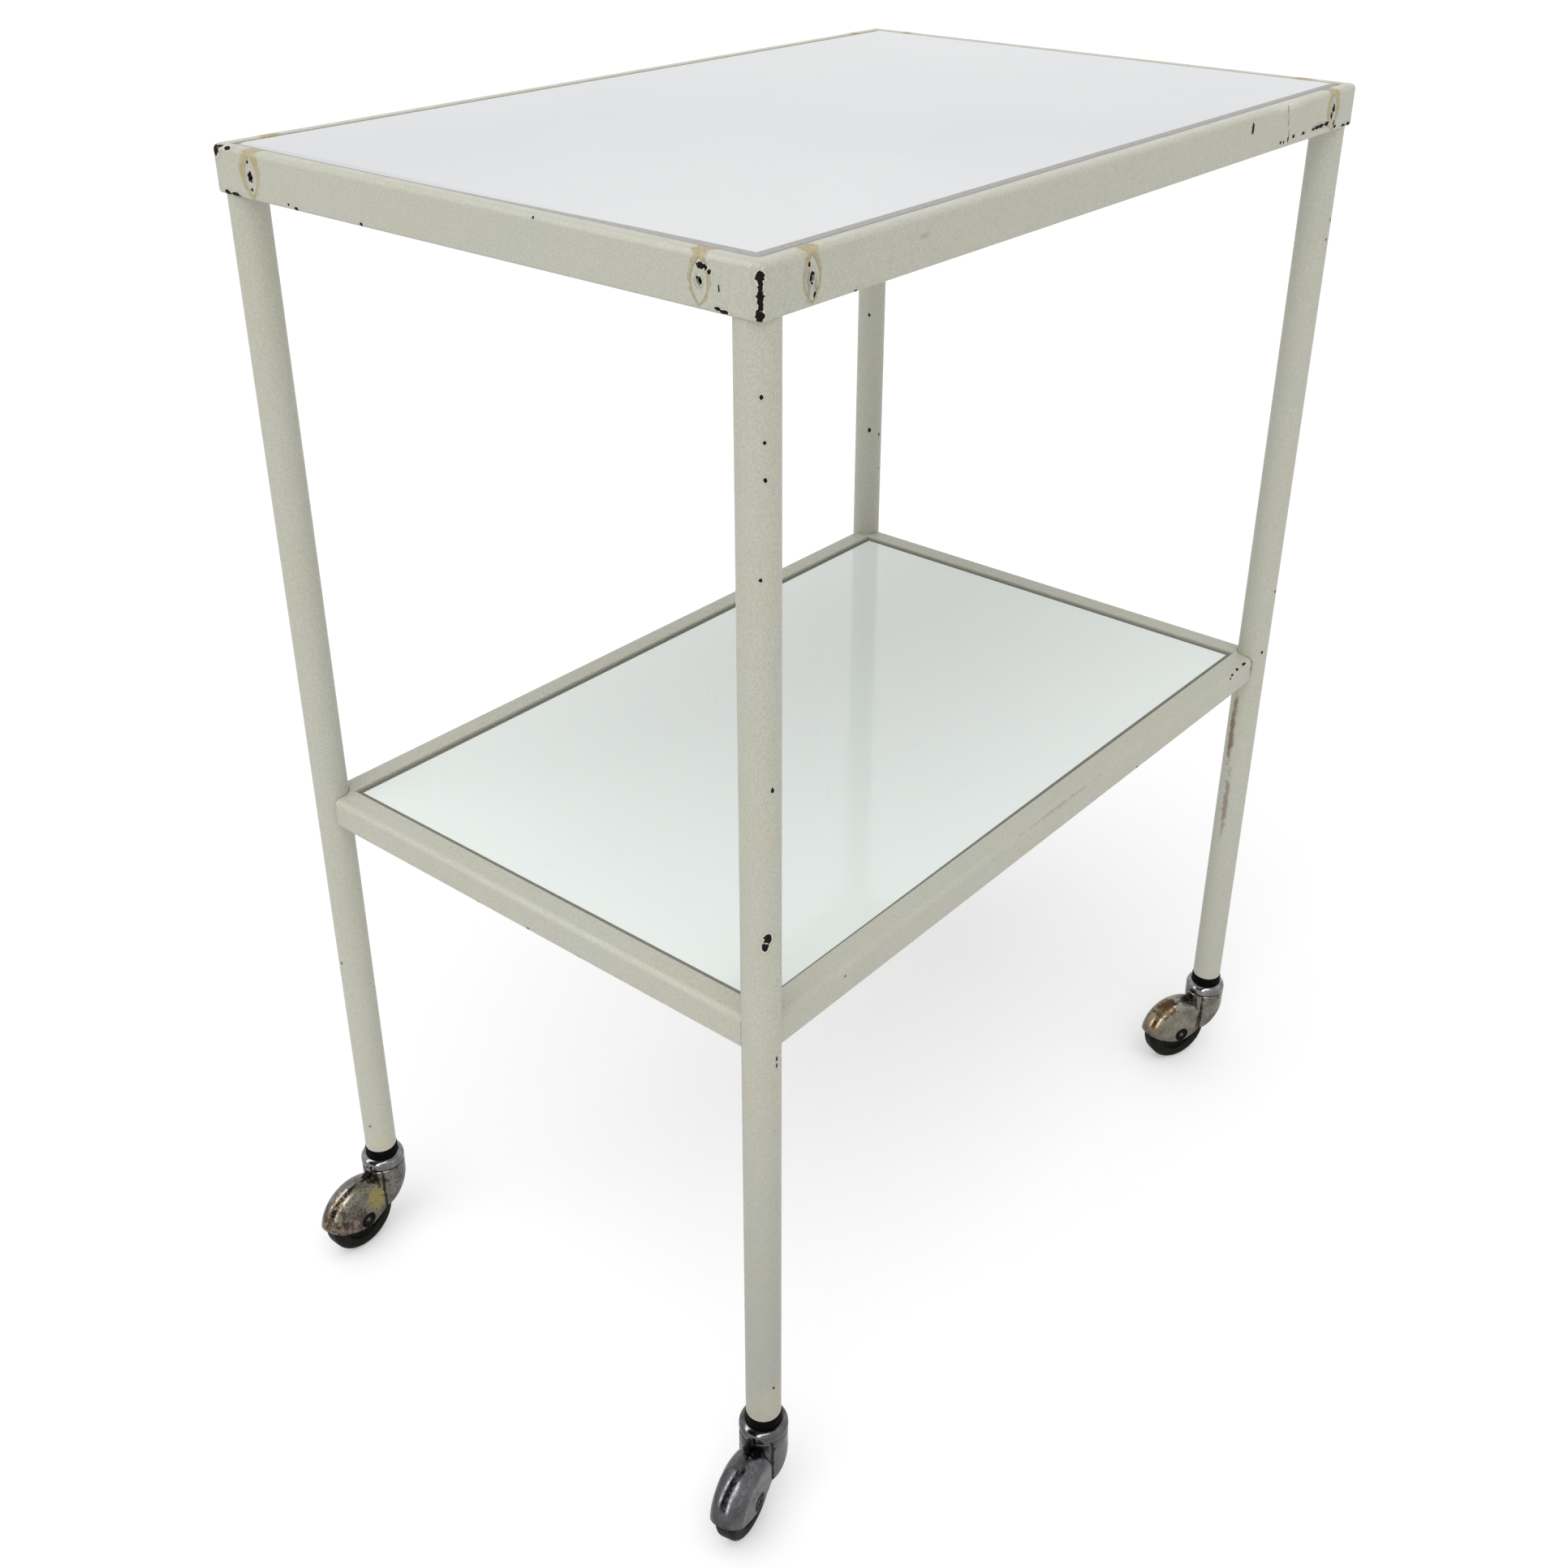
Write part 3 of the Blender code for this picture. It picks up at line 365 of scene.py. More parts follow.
CHIPS = {
    "joint_plates": [
        left(-163.4, 784.9, 2.4, 1.7), left(-162.0, 778.0, 1.5, 2.2), left(163.2, 785.4, 1.1, 1.0),
        left(162.3, 777.8, 1.9, 3.2), left(162.0, 770.9, 1.0, 0.9), front(-265.2, 778.2, 1.5, 3.0),
        front(-263.3, 770.2, 0.9, 1.7), front(-267.2, 784.2, 0.7, 1.2), front(265.6, 779.8, 1.8, 2.6),
        front(263.8, 775.8, 1.7, 2.4),
    ],
    "top_rail_left": [
        left(124.6, 766.2, 1.5, 1.2), left(131.0, 767.6, 0.8, 0.8), left(70.6, 766.3, 1.3, 1.2),
        left(-58.4, 789.3, 0.9, 0.8),
    ],
    "top_corner_front_left": [
        left(-172.6, 767.4, 2.0, 0.9), left(-176.5, 766.6, 2.4, 0.9), left(-165.4, 784.3, 2.0, 1.3),
        left(-168.0, 782.6, 1.2, 1.2), left(-173.6, 776.2, 0.5, 2.0),
        front(-261.6, 767.5, 1.2, 1.2), spot(-297.7, -197.0, 788.5, 0.9),
        spot(-298.6, -195.6, 784.6, 2.2, 2.6), spot(-298.4, -195.9, 781.0, 1.3, 3.4),
        spot(-298.6, -195.7, 776.5, 1.8, 3.0), spot(-298.3, -195.8, 772.5, 1.3, 3.4),
        spot(-298.5, -195.6, 768.0, 2.1, 2.8),
    ],
    "top_corner_back_left": [
        left(181.6, 790.4, 3.0, 1.5), left(191.6, 788.4, 2.8, 3.2), left(188.2, 790.6, 2.4, 1.0),
        left(185.0, 766.2, 2.6, 1.5), left(177.6, 765.9, 4.4, 1.5),
    ],
    "top_rail_front": [
        front(-233.3, 765.3, 1.4, 1.2), front(152.4, 783.0, 1.5, 3.4),
        front(192.9, 769.0, 1.3, 1.0), front(197.2, 768.6, 1.1, 1.0), front(203.0, 769.4, 1.0, 1.7),
        front(210.6, 770.2, 1.8, 1.3), front(224.5, 770.2, 2.3, 1.1), front(238.5, 770.6, 2.4, 0.9),
        front(243.5, 771.0, 3.2, 1.2), front(250.0, 771.2, 3.8, 1.3), front(257.5, 771.4, 3.4, 1.4),
        front(263.6, 771.8, 2.2, 1.8),
        front(198.6, 787.5, 0.32, 3.6), front(200.6, 780.5, 0.3, 3.8), front(203.2, 771.5, 0.3, 4.6),
    ],
    "top_corner_front_right": [
        front(268.0, 771.0, 2.0, 2.2), front(271.0, 768.0, 2.4, 1.0), front(284.0, 766.9, 3.0, 0.9),
        front(291.5, 767.0, 2.6, 1.1), spot(296.8, -196.4, 767.6, 1.8, 1.6),
        spot(299.2, -193.2, 771.4, 1.6, 3.0),
    ],
    "leg_front_left": [
        spot(-295.3, -193.3, 730.7, 0.9, 1.2), spot(-294.2, -194.1, 709.6, 0.8, 1.0),
        spot(-293.9, -194.3, 691.9, 0.9, 1.1), spot(-295.8, -192.7, 643.0, 0.8, 1.0),
        spot(-290.8, -195.6, 528.5, 1.0, 1.4), spot(-293.4, -194.5, 439.4, 2.2, 2.8),
        spot(-294.8, -193.6, 434.4, 1.8, 2.6), spot(-288.2, -196.0, 358.0, 0.8, 1.6),
        spot(-288.2, -196.0, 353.4, 0.7, 1.5), spot(-290.7, -195.6, 104.0, 0.9, 1.3),
    ],
    "leg_back_left": [spot(-299.0, 185.3, 244.8, 1.0, 1.4), spot(-298.1, 180.7, 100.3, 0.9)],
    "leg_front_right": [
        spot(288.7, -196.0, 704.8, 0.9, 1.2), spot(286.8, -195.9, 692.1, 0.9, 1.1),
        spot(287.8, -196.0, 431.3, 1.0, 1.4), spot(283.1, -194.8, 382.1, 1.0, 1.2),
    ],
    "leg_back_right": [
        spot(279.6, 177.9, 473.3, 1.3, 2.0), spot(288.2, 174.0, 468.3, 1.0, 1.4),
        spot(278.2, 180.0, 572.5, 1.0, 1.4),
    ],
    "shelf_rail_left": [
        ((-293.6, 38.9, 358.1), (2.0, 1.4, 1.1)), ((-293.6, -6.1, 359.2), (2.0, 1.1, 1.0)),
        ((-293.6, -48.7, 357.8), (2.0, 1.3, 1.2)),
    ],
    "shelf_rail_front": [
        ((107.4, -190.6, 359.8), (1.2, 2.0, 1.0)), ((266.0, -190.0, 377.2), (2.8, 2.0, 0.9)),
        ((255.0, -190.0, 377.0), (2.2, 2.0, 0.8)), ((246.0, -190.0, 376.2), (1.8, 2.0, 0.9)),
        ((242.5, -190.6, 374.8), (1.2, 2.0, 0.9)),
    ],
    "shelf_rail_right": [((293.5, -151.4, 378.0), (1.2, 1.4, 1.0))],
}
RUST, OLIVE, GREY = (0.16, 0.085, 0.035), (0.22, 0.20, 0.13), (0.30, 0.30, 0.27)
CREAM = (0.62, 0.55, 0.36)
# Each stain: centre, radii, colour, strength.
STAINS = {
    "leg_front_right": [
        ((277.4, -182.0, 312.0), (3.2, 3.0, 36.0), RUST, 0.75),
        ((277.2, -185.0, 246.0), (3.0, 2.6, 34.0), RUST, 0.55),
        ((288.0, -190.0, 88.0), (14.0, 14.0, 9.0), CREAM, 0.35),
    ],
    "leg_front_left": [((-288.0, -190.0, 90.0), (16.0, 16.0, 26.0), CREAM, 0.30)],
    "leg_back_left": [((-292.0, 178.0, 84.0), (9.0, 9.0, 8.0), CREAM, 0.45)],
    "shelf_rail_front": [
        ((0.0, -190.6, 376.5), (60.0, 2.0, 1.4), GREY, 0.45),
        ((277.0, -187.0, 370.0), (3.0, 6.0, 12.0), RUST, 0.7),
    ],
    "top_corner_front_left": [((-267.0, -197.0, 777.0), (3.2, 2.5, 11.0), OLIVE, 0.5)],
    "top_rail_front": [
        ((-181.2, -197.0, 781.0), (5.0, 2.5, 1.6), GREY, 0.4),
        ((246.0, -197.0, 768.2), (24.0, 2.5, 2.2), (0.66, 0.60, 0.53), 0.6),
        ((251.0, -197.0, 771.4), (16.0, 2.5, 2.4), OLIVE, 0.7),
        ((202.0, -196.0, 789.0), (22.0, 3.0, 3.0), (0.70, 0.69, 0.63), 0.6),
    ],
    "top_corner_front_right": [((268.0, -197.0, 775.0), (2.6, 2.5, 13.0), OLIVE, 0.7)],
    "joint_plates": [
        ((-267.5, -197.0, 776.0), (2.2, 2.5, 9.0), GREY, 0.8),
        ((-262.6, -197.0, 772.0), (1.8, 2.5, 6.0), OLIVE, 0.8),
        ((262.0, -197.0, 777.0), (4.0, 2.5, 10.0), (0.46, 0.42, 0.28), 0.8),
    ],
}


LEG_TINT = {
    "front_left": (60.0, 420.0, 0.68), "front_right": (60.0, 300.0, 0.2),
    "back_left": (60.0, 200.0, 0.04), "back_right": (60.0, 700.0, 0.35),
}


def joint_filler(paint, warp):
    """Tan filler round the lens plates, in all the joints of the top frame at once."""
    toward_left = paint.step(paint.axis("X"), -20.0, 20.0, 1.0, 0.0)
    toward_back = paint.step(paint.axis("Y"), -20.0, 20.0, 0.0, 1.0)
    crossed = paint.unsigned(paint.minus(toward_left, toward_back))
    # It spreads widest at the back left and front right corners, as in the photo.
    spread = paint.math("MULTIPLY_ADD", crossed, -1.0, 1.9)
    radius, offset = lens_arcs(PLATE_WIDTH, PLATE_HEIGHT)
    across = []
    for axis, other, at, face in (("X", "Y", OUTER_X, OUTER_Y), ("Y", "X", OUTER_Y, OUTER_X)):
        along = paint.unsigned(paint.minus(paint.unsigned(paint.axis(axis)), at - ARM))
        on_side = paint.step(paint.unsigned(paint.axis(other)), face - TOP_WIDTH - 1.0, face - TOP_WIDTH)
        up = paint.minus(paint.axis("Z"), JOINT_HEIGHT)
        shifted = paint.add(along, offset)
        radial = paint.math("SQRT", paint.math(
            "ADD", paint.times(shifted, shifted), paint.times(up, up)))
        outside = paint.minus(radial, radius)
        reach = paint.step(up, -12.0, 13.0, 1.2, 3.4)
        reach = paint.add(reach, paint.times(warp, 4.0))
        reach = paint.larger(paint.times(reach, spread), 0.4)
        band = paint.times(paint.step(outside, 0.1, 0.4),
                          paint.minus(1.0, paint.step(paint.math("DIVIDE", outside, reach), 0.75, 1.15)))
        over = paint.times(paint.step(up, 9.5, 12.5), paint.math(
            "SUBTRACT", 1.0, paint.step(paint.add(along, paint.times(warp, 9.0)), 3.6, 5.2)))
        across.append(paint.times(on_side, paint.larger(band, over)))
    return paint.larger(*across)


def enamel(name, key=None, joints=False, seed=0.0, tint=None):
    """Old cream enamel: grained, orange-peeled, chipped to dark metal, stained.

    A tint (low, high, shade) greys the paint from a height downward.
    """
    paint = Paint(name)
    broad = paint.noise(90.0, 3.0, 0.6, seed=seed)
    middle = paint.noise(14.0, 4.0, 0.6, seed=seed + 40.0)
    fine = paint.noise(2.2, 3.0, 0.65, seed=seed + 11.0)
    grain = paint.noise(1.1, 2.0, 0.7, seed=seed + 17.0)
    warp = paint.minus(paint.noise(1.6, 2.0, 0.6, seed=seed + 5.0), 0.5)
    slow_warp = paint.minus(paint.noise(5.0, 2.0, 0.6, seed=seed + 9.0), 0.5)
    color = paint.mix(paint.step(broad, 0.3, 0.7), (0.592, 0.596, 0.522), (0.600, 0.592, 0.492))
    color = paint.mix(paint.step(middle, 0.35, 0.75, 0.0, 0.20), color, (0.525, 0.520, 0.43))
    color = paint.mix(paint.step(grain, 0.40, 0.60, 0.0, 0.45), color, (0.44, 0.44, 0.36))
    if tint is not None:
        low, high, shade = tint
        color = paint.mix(paint.step(paint.axis("Z"), low, high, shade, 0.0), color, (0.36, 0.365, 0.33))
    for center, radii, stain, strength in STAINS.get(key, ()):
        soft = paint.blob(center, radii, paint.times(slow_warp, 1.6))
        mask = paint.step(soft, 0.35, 1.15, strength, 0.0)
        color = paint.mix(mask, color, stain)
    rough = paint.step(middle, 0.3, 0.8, 0.24, 0.40)
    height = paint.times(paint.noise(3.2, 1.0, 0.4, seed=seed + 3.0), 0.5)
    if joints:
        tan = joint_filler(paint, slow_warp)
        filler = paint.mix(paint.step(fine, 0.3, 0.7), (0.40, 0.325, 0.165), (0.53, 0.46, 0.29))
        color = paint.mix(paint.times(tan, 0.85), color, filler)
        rough = paint.add(rough, paint.times(tan, 0.25))
    # Small random chips and specks.
    spacing = 17.0
    distance, pick = paint.cells(spacing)
    far = paint.times(distance, spacing)
    size = paint.step(pick, 0.80, 1.0, 0.0, 0.75)
    speck = paint.math("DIVIDE", paint.add(far, paint.times(warp, 0.5)),
                       paint.larger(size, 0.02))
    distances = [speck]
    for center, radii in CHIPS.get(key, ()):
        distances.append(paint.blob(center, radii, paint.times(warp, 1.5)))
    chip = paint.nearest(distances)
    halo = paint.step(chip, 1.0, 2.4, 0.30, 0.0)
    color = paint.mix(halo, color, (0.33, 0.27, 0.17))
    rim = paint.times(paint.step(chip, 1.02, 1.12), paint.step(chip, 1.22, 1.5, 1.0, 0.0))
    color = paint.mix(paint.times(rim, 0.6), color, (0.76, 0.75, 0.69))
    core = paint.step(chip, 0.92, 1.04, 1.0, 0.0)
    bare = paint.mix(paint.step(fine, 0.35, 0.7), (0.001, 0.001, 0.001), (0.010, 0.008, 0.007))
    color = paint.mix(core, color, bare)
    rough = paint.add(rough, paint.times(core, 0.5))
    height = paint.minus(height, paint.times(core, 1.5))
    paint.bump(height, 0.09)
    return paint.set(Base_Color=color, Roughness=rough, Specular_IOR_Level=0.16)


# ---------------------------------------------------------------- glass
def opal_glass(name, light, dark, seed, half_x, half_y, edge, edge_grime_and_shade_colors, narrowing=0.0, near_thin=0.0):
    """Opaque polished glass with faint clouds, smears, dust and hairline scratches.

    Half sizes are those of the polished face; a matt edge of its own width surrounds it, grey with
    crumbs of grime and darkest at its outer rim, which is painted shade of the gap to the frame. The
    edge is thinner by narrowing toward the back of the left side, and by near_thin toward the left of
    the front side. A painted sheen lightens the polished face toward the top's front left corner.
    """
    paint = Paint(name)
    cloud = paint.noise(120.0, 3.0, 0.55, seed=seed)
    dust = paint.noise(0.9, 2.0, 0.6, seed=seed + 7.0)
    smear = paint.noise(26.0, 3.0, 0.6, seed=seed + 3.0, stretch=(1.0, 3.2, 1.0))
    # Painted sheen: the colour is lighter toward the top's front left corner and darker further away.
    near = paint.vector("DISTANCE", paint.point, (-half_x, -half_y, TOP))
    cloud = paint.step(cloud, 0.3, 0.7, 0.0, 0.2)
    color = paint.mix(paint.math("MULTIPLY_ADD", paint.step(near, 60.0, 340.0), 0.8, cloud), light, dark)
    color = paint.mix(paint.step(dust, 0.62, 0.8, 0.0, 0.10), color, (0.45, 0.44, 0.40))
    lines = []
    for turn, at in ((0.35, 0.0), (-0.8, 31.0), (1.25, 57.0)):
        turned_point = paint.node("ShaderNodeVectorRotate", {"Vector": paint.point, "Angle": turn},
                                  rotation_type="Z_AXIS").outputs[0]
        streak = paint.noise(1.3, 0.0, 0.5, vector=turned_point, seed=at, stretch=(0.02, 1.0, 1.0))
        patch = paint.noise(40.0, 1.0, 0.5, seed=seed + at)
        lines.append(paint.times(paint.step(streak, 0.74, 0.80), paint.step(patch, 0.52, 0.66)))
    scratch = paint.larger(paint.larger(lines[0], lines[1]), lines[2])
    rough = paint.step(smear, 0.35, 0.75, 0.05, 0.13)
    rough = paint.add(rough, paint.times(scratch, 0.08))
    color = paint.mix(paint.times(scratch, 0.10), color, (0.5, 0.5, 0.48))
    narrower = paint.times(paint.step(paint.axis("Y"), -180.0, 60.0, 0.0, narrowing),
                          paint.step(paint.axis("X"), -20.0, 20.0, 1.0, 0.0))
    wide = paint.minus(paint.unsigned(paint.axis("X")), narrower)
    out = paint.larger(paint.minus(wide, half_x),
                     paint.minus(paint.unsigned(paint.axis("Y")), half_y))
    out = paint.minus(out, paint.math(
        "MULTIPLY", paint.step(paint.axis("X"), -half_x, 0.4 * half_x, near_thin, 0.0),
        paint.step(paint.axis("Y"), -half_y, 0.6 - half_y, 1.0, 0.0)))
    ground = paint.step(out, 0.0, 0.25)
    # Grey edge with crumbs of grime, darkest at its outer rim: that dark rim is painted shade of the gap to
    # the frame.
    edge_grime_and_shade = paint.mix(paint.step(out, edge - 1.6, edge + 0.1), *edge_grime_and_shade_colors)
    crumbs = paint.step(paint.noise(3.0, 3.0, 0.6, seed=seed), 0.4, 0.7, 0.0, 0.3)
    edge_grime_and_shade = paint.mix(crumbs, edge_grime_and_shade, (0.30, 0.29, 0.26))
    color = paint.mix(ground, color, edge_grime_and_shade)
    rough = paint.larger(rough, paint.times(ground, 0.75))
    height = paint.minus(paint.noise(60.0, 1.0, 0.4, seed=seed + 5.0), paint.times(scratch, 0.02))
    paint.bump(height, 0.05)
    return paint.set(Base_Color=color, Roughness=rough, IOR=1.5, Specular_IOR_Level=0.5)


# ---------------------------------------------------------------- metals, rubber, plastic
def chrome(name, place, seed, base, dull=1.0, stains=(), patina=(), crease=0.0):
    """Worn chrome: clouds of tarnish, pits, soft smears, islands of patina, and a dirty crease.

    Stains and patina are in the frame of the part that the matrix place stands in. Some stains
    are painted shade under the collar, and with a crease the gap round the axle's head gets a
    ring of painted shade.
    """
    paint = Paint(name, place)
    cloud = paint.noise(9.0, 4.0, 0.62, seed=seed)
    grit = paint.noise(1.1, 3.0, 0.7, seed=seed + 13.0)
    warp = paint.minus(paint.noise(4.5, 3.0, 0.65, seed=seed + 21.0), 0.5)
    dark = tuple(0.52 * part for part in base)
    color = paint.mix(paint.step(cloud, 0.30, 0.72), base, dark)
    color = paint.mix(paint.step(grit, 0.52, 0.72, 0.0, 0.75), color, tuple(0.22 * part for part in base))
    rough = paint.step(cloud, 0.3, 0.75, 0.13 * dull, 0.34 * dull)
    for center, radii, tint, strength in stains:
        soft = paint.blob(center, radii, paint.times(warp, 1.5))
        mask = paint.step(soft, 0.6, 1.0, strength, 0.0)
        color = paint.mix(mask, color, tint)
        rough = paint.add(rough, paint.times(mask, 0.12))
    for center, radii, tint, size in patina:
        inside = paint.step(paint.blob(center, radii, warp), 0.6, 1.1, 0.16, 0.0)
        islands = paint.noise(size, 4.0, 0.62, seed=seed + size)
        mask = paint.step(paint.add(islands, inside), 0.62, 0.65)
        color = paint.mix(paint.times(mask, 0.85), color, tint)
        rough = paint.add(rough, paint.times(mask, 0.14))
    if crease:
        # Rust and dirt in the corner between the neck and the wheel cover.
        line = paint.unsigned(paint.minus(paint.axis("X"), 10.1))
        line = paint.add(line, paint.times(warp, 3.0))
        dirt = paint.times(paint.step(line, 0.35, 1.1, 1.0, 0.0), paint.step(paint.axis("Z"), 16.0, 26.0))
        color = paint.mix(paint.times(dirt, crease), color, (0.022, 0.014, 0.012))
        rough = paint.add(rough, paint.times(dirt, 0.4))
        # Painted shade of the gap round the axle's head: a near-black ring on the hood.
        ring = paint.blob((TRAIL, 0.0, AXLE_HEIGHT), (5.9, 400.0, 5.9), paint.times(warp, 0.25))
        ring = paint.step(ring, 0.95, 1.12, 1.0, 0.0)
        color = paint.mix(ring, color, (0.008, 0.007, 0.006))
        rough = paint.add(rough, paint.times(ring, 0.3))
    distance, pick = paint.cells(2.6)
    hole = paint.times(paint.step(distance, 0.06, 0.12, 1.0, 0.0), paint.step(pick, 0.72, 0.74))
    color = paint.mix(paint.times(hole, 0.8), color, (0.05, 0.04, 0.035))
    rough = paint.add(rough, paint.times(hole, 0.3))
    height = paint.add(paint.times(cloud, 0.5), paint.times(hole, -0.6))
    height = paint.add(height, paint.times(grit, 0.12))
    paint.bump(height, 0.12)
    return paint.set(Base_Color=color, Roughness=rough, Metallic=1.0)


def steel(name, light=(0.20, 0.195, 0.19), dark=(0.05, 0.045, 0.04), place=None):
    """Dull bare steel with rust-brown specks; with a place, a pin along y whose rims carry painted shade."""
    paint = Paint(name, place)
    cloud = paint.noise(3.0, 4.0, 0.65)
    color = paint.mix(paint.step(cloud, 0.35, 0.7), light, dark)
    if place is not None:
        # With a place, everything beyond about 2 mm from the pin's axis is near-black: painted shade of the
        # hole round the axle's head.
        rim = paint.blob((0.0, 0.0, 0.0), (1.75, 400.0, 1.75), paint.times(paint.minus(cloud, 0.5), 0.4))
        color = paint.mix(paint.step(rim, 0.9, 1.15), color, (0.008, 0.007, 0.006))
    paint.bump(paint.noise(0.7, 2.0, 0.6), 0.05)
    return paint.set(Base_Color=color, Roughness=paint.step(cloud, 0.3, 0.8, 0.3, 0.6), Metallic=1.0)


def black_plastic(name):
    paint = Paint(name)
    cloud = paint.noise(4.0, 3.0, 0.6)
    color = paint.mix(paint.step(cloud, 0.4, 0.8), (0.002, 0.002, 0.002), (0.006, 0.005, 0.005))
    paint.bump(paint.noise(0.5, 1.0, 0.5), 0.02)
    rough = paint.step(cloud, 0.3, 0.8, 0.35, 0.6)
    return paint.set(Base_Color=color, Roughness=rough, Specular_IOR_Level=0.03)


def black_rubber(name, place, seed):
    """Worn tread: dusty grey scuffs round the wheel, on near-black rubber."""
    paint = Paint(name, place)
    scuff = paint.noise(3.5, 4.0, 0.7, seed=seed, stretch=(1.0, 1.0, 3.0))
    dust = paint.noise(0.8, 3.0, 0.7, seed=seed + 2.0)
    color = paint.mix(paint.step(scuff, 0.42, 0.75), (0.005, 0.005, 0.004), (0.026, 0.024, 0.020))
    color = paint.mix(paint.step(dust, 0.60, 0.8, 0.0, 0.5), color, (0.06, 0.055, 0.045))
    paint.bump(paint.add(dust, scuff), 0.06)
    rough = paint.step(scuff, 0.3, 0.8, 0.36, 0.62)
    return paint.set(Base_Color=color, Roughness=rough, Specular_IOR_Level=0.08)


# ---------------------------------------------------------------- the top frame
def along_side(side, outer_x, outer_y, bottom):
    """Stands a section's x inward, y up and z along one side of the table."""
    frames = {
        "front": ((0, 1, 0), (1, 0, 0), (0.0, -outer_y, bottom)),
        "back": ((0, -1, 0), (-1, 0, 0), (0.0, outer_y, bottom)),
        "left": ((1, 0, 0), (0, -1, 0), (-outer_x, 0.0, bottom)),
        "right": ((-1, 0, 0), (0, 1, 0), (outer_x, 0.0, bottom)),
    }
    inward, run, origin = frames[side]
    return Matrix.Translation(origin) @ Matrix((inward, (0, 0, 1), run)).transposed().to_4x4()


def section(width, height, radius, lower_radius, ledge):
    return rounded([
        (0.0, 0.0, lower_radius), (width, 0.0, lower_radius),
        (width, ledge - LEDGE_THICK, 0.0), (width + LEDGE_REACH, ledge - LEDGE_THICK, 0.0),
        (width + LEDGE_REACH, ledge, 0.0), (width, ledge, 0.0),
        (width, height, 1.0), (0.0, height, radius),
    ])


def half_lengths(x, y):
    return {"front": x, "back": x, "left": y, "right": y}


def enamelled(kind, node, mesh, seed, joints=False, tint=None):
    """Add a mesh as an enamelled piece of the table that stands for one CAD node."""
    material = enamel(f"enamel_{node}", node, joints, seed, tint)
    piece(f"{kind}_{node}", mesh, "table", material, [node])


def add_top_frame():
    ledge = TOP_GLASS[3] - TOP_GLASS[2] - 0.3 - TOP_LOW
    outline = section(TOP_WIDTH, TOP - TOP_LOW, TOP_RADIUS, TOP_LOWER_RADIUS, ledge)
    for seed, (side, half) in enumerate(half_lengths(OUTER_X, OUTER_Y).items()):
        mesh = extruded(outline, ARM - half, half - ARM)
        mesh.transform(along_side(side, OUTER_X, OUTER_Y, TOP_LOW))
        mesh = combined(mesh, joint_cuts(), "DIFFERENCE")
        enamelled("frame", f"top_rail_{side}", mesh, 10.0 * seed, True)
    for seed, (leg, (sx, sy)) in enumerate(LEGS.items()):
        mesh = corner_mesh(ledge)
        turn = math.atan2(-sy, -sx) - math.pi / 4
        outer_corner = Matrix.Translation((sx * OUTER_X, sy * OUTER_Y, TOP_LOW))
        mesh.transform(outer_corner @ Matrix.Rotation(turn, 4, "Z"))
        mesh = combined(mesh, joint_cuts(), "DIFFERENCE")
        enamelled("frame", f"top_corner_{leg}", mesh, 70.0 + seed, True)
    add_joint_plates()


def corner_mesh(ledge):
    """Two arms along +x and +y from the outer corner, the block round the leg, glass ledges."""
    height = TOP - TOP_LOW
    arms = extruded(rounded([
        (0.0, 0.0, 5.5), (ARM, 0.0, 0.0), (ARM, TOP_WIDTH, 0.0),
        (TOP_WIDTH, TOP_WIDTH, 1.5), (TOP_WIDTH, ARM, 0.0), (0.0, ARM, 0.0),
    ], 8), 0.0, height)
    bevelled(arms, lambda co: co.z > height - 0.1 and min(co.x, co.y) < 2.9, TOP_RADIUS, 6)
    bevelled(arms, lambda co: co.z > height - 0.1 and min(co.x, co.y) > 6.0, 1.0, 6)
    bevelled(arms, lambda co: co.z < 0.1, TOP_LOWER_RADIUS, 6)
    reach = TOP_WIDTH + LEDGE_REACH
    ledges = extruded(
        [(6, 6), (ARM, 6), (ARM, reach), (reach, reach), (reach, ARM), (6, ARM)], ledge - LEDGE_THICK, ledge)
    size = 26.5
    block = extruded(rounded([(6, 6, 0.0), (size, 6, 0.0), (size, size, 9.0), (6, size, 0.0)], 8), 0.0, ledge)
    whole = combined(arms, [ledges, block], "UNION")
    depth = LEG_HIGH - TOP_LOW + SEAM
    socket = cylinder(LEG_RADIUS + SEAM, -1.0, depth, 72)
    socket.transform(Matrix.Translation((OUTER_X - HALF_X, OUTER_Y - HALF_Y, 0.0)))
    return combined(whole, [socket], "DIFFERENCE")


def joint_places():
    """The eight joints of the top frame: leg, side and the plate's place, facing outward."""
    up = Vector((0, 0, 1))
    for leg, (sx, sy) in LEGS.items():
        for side, at, outward in (
                ("long_side", (sx * (OUTER_X - ARM), sy * OUTER_Y, JOINT_HEIGHT), (0, sy, 0)),
                ("short_side", (sx * OUTER_X, sy * (OUTER_Y - ARM), JOINT_HEIGHT), (sx, 0, 0))):
            normal = Vector(outward)
            facing = Matrix((up.cross(normal), up, normal)).transposed().to_4x4()
            yield leg, side, Matrix.Translation(at) @ facing


def joint_cuts():
    """The seats of all the plates and the holes of all the rivets."""
    cuts = []
    for leg, side, place in joint_places():
        seat = extruded(lens(PLATE_WIDTH + 0.4, PLATE_HEIGHT + 0.5), -PLATE_SEAT, 1.0)
        hole = cylinder(EYELET_RADIUS + 0.1, -EYELET_LENGTH - 0.2, 1.0, 24)
        for cut in (seat, hole):
            cut.transform(place)
            cuts.append(cut)
    return cuts


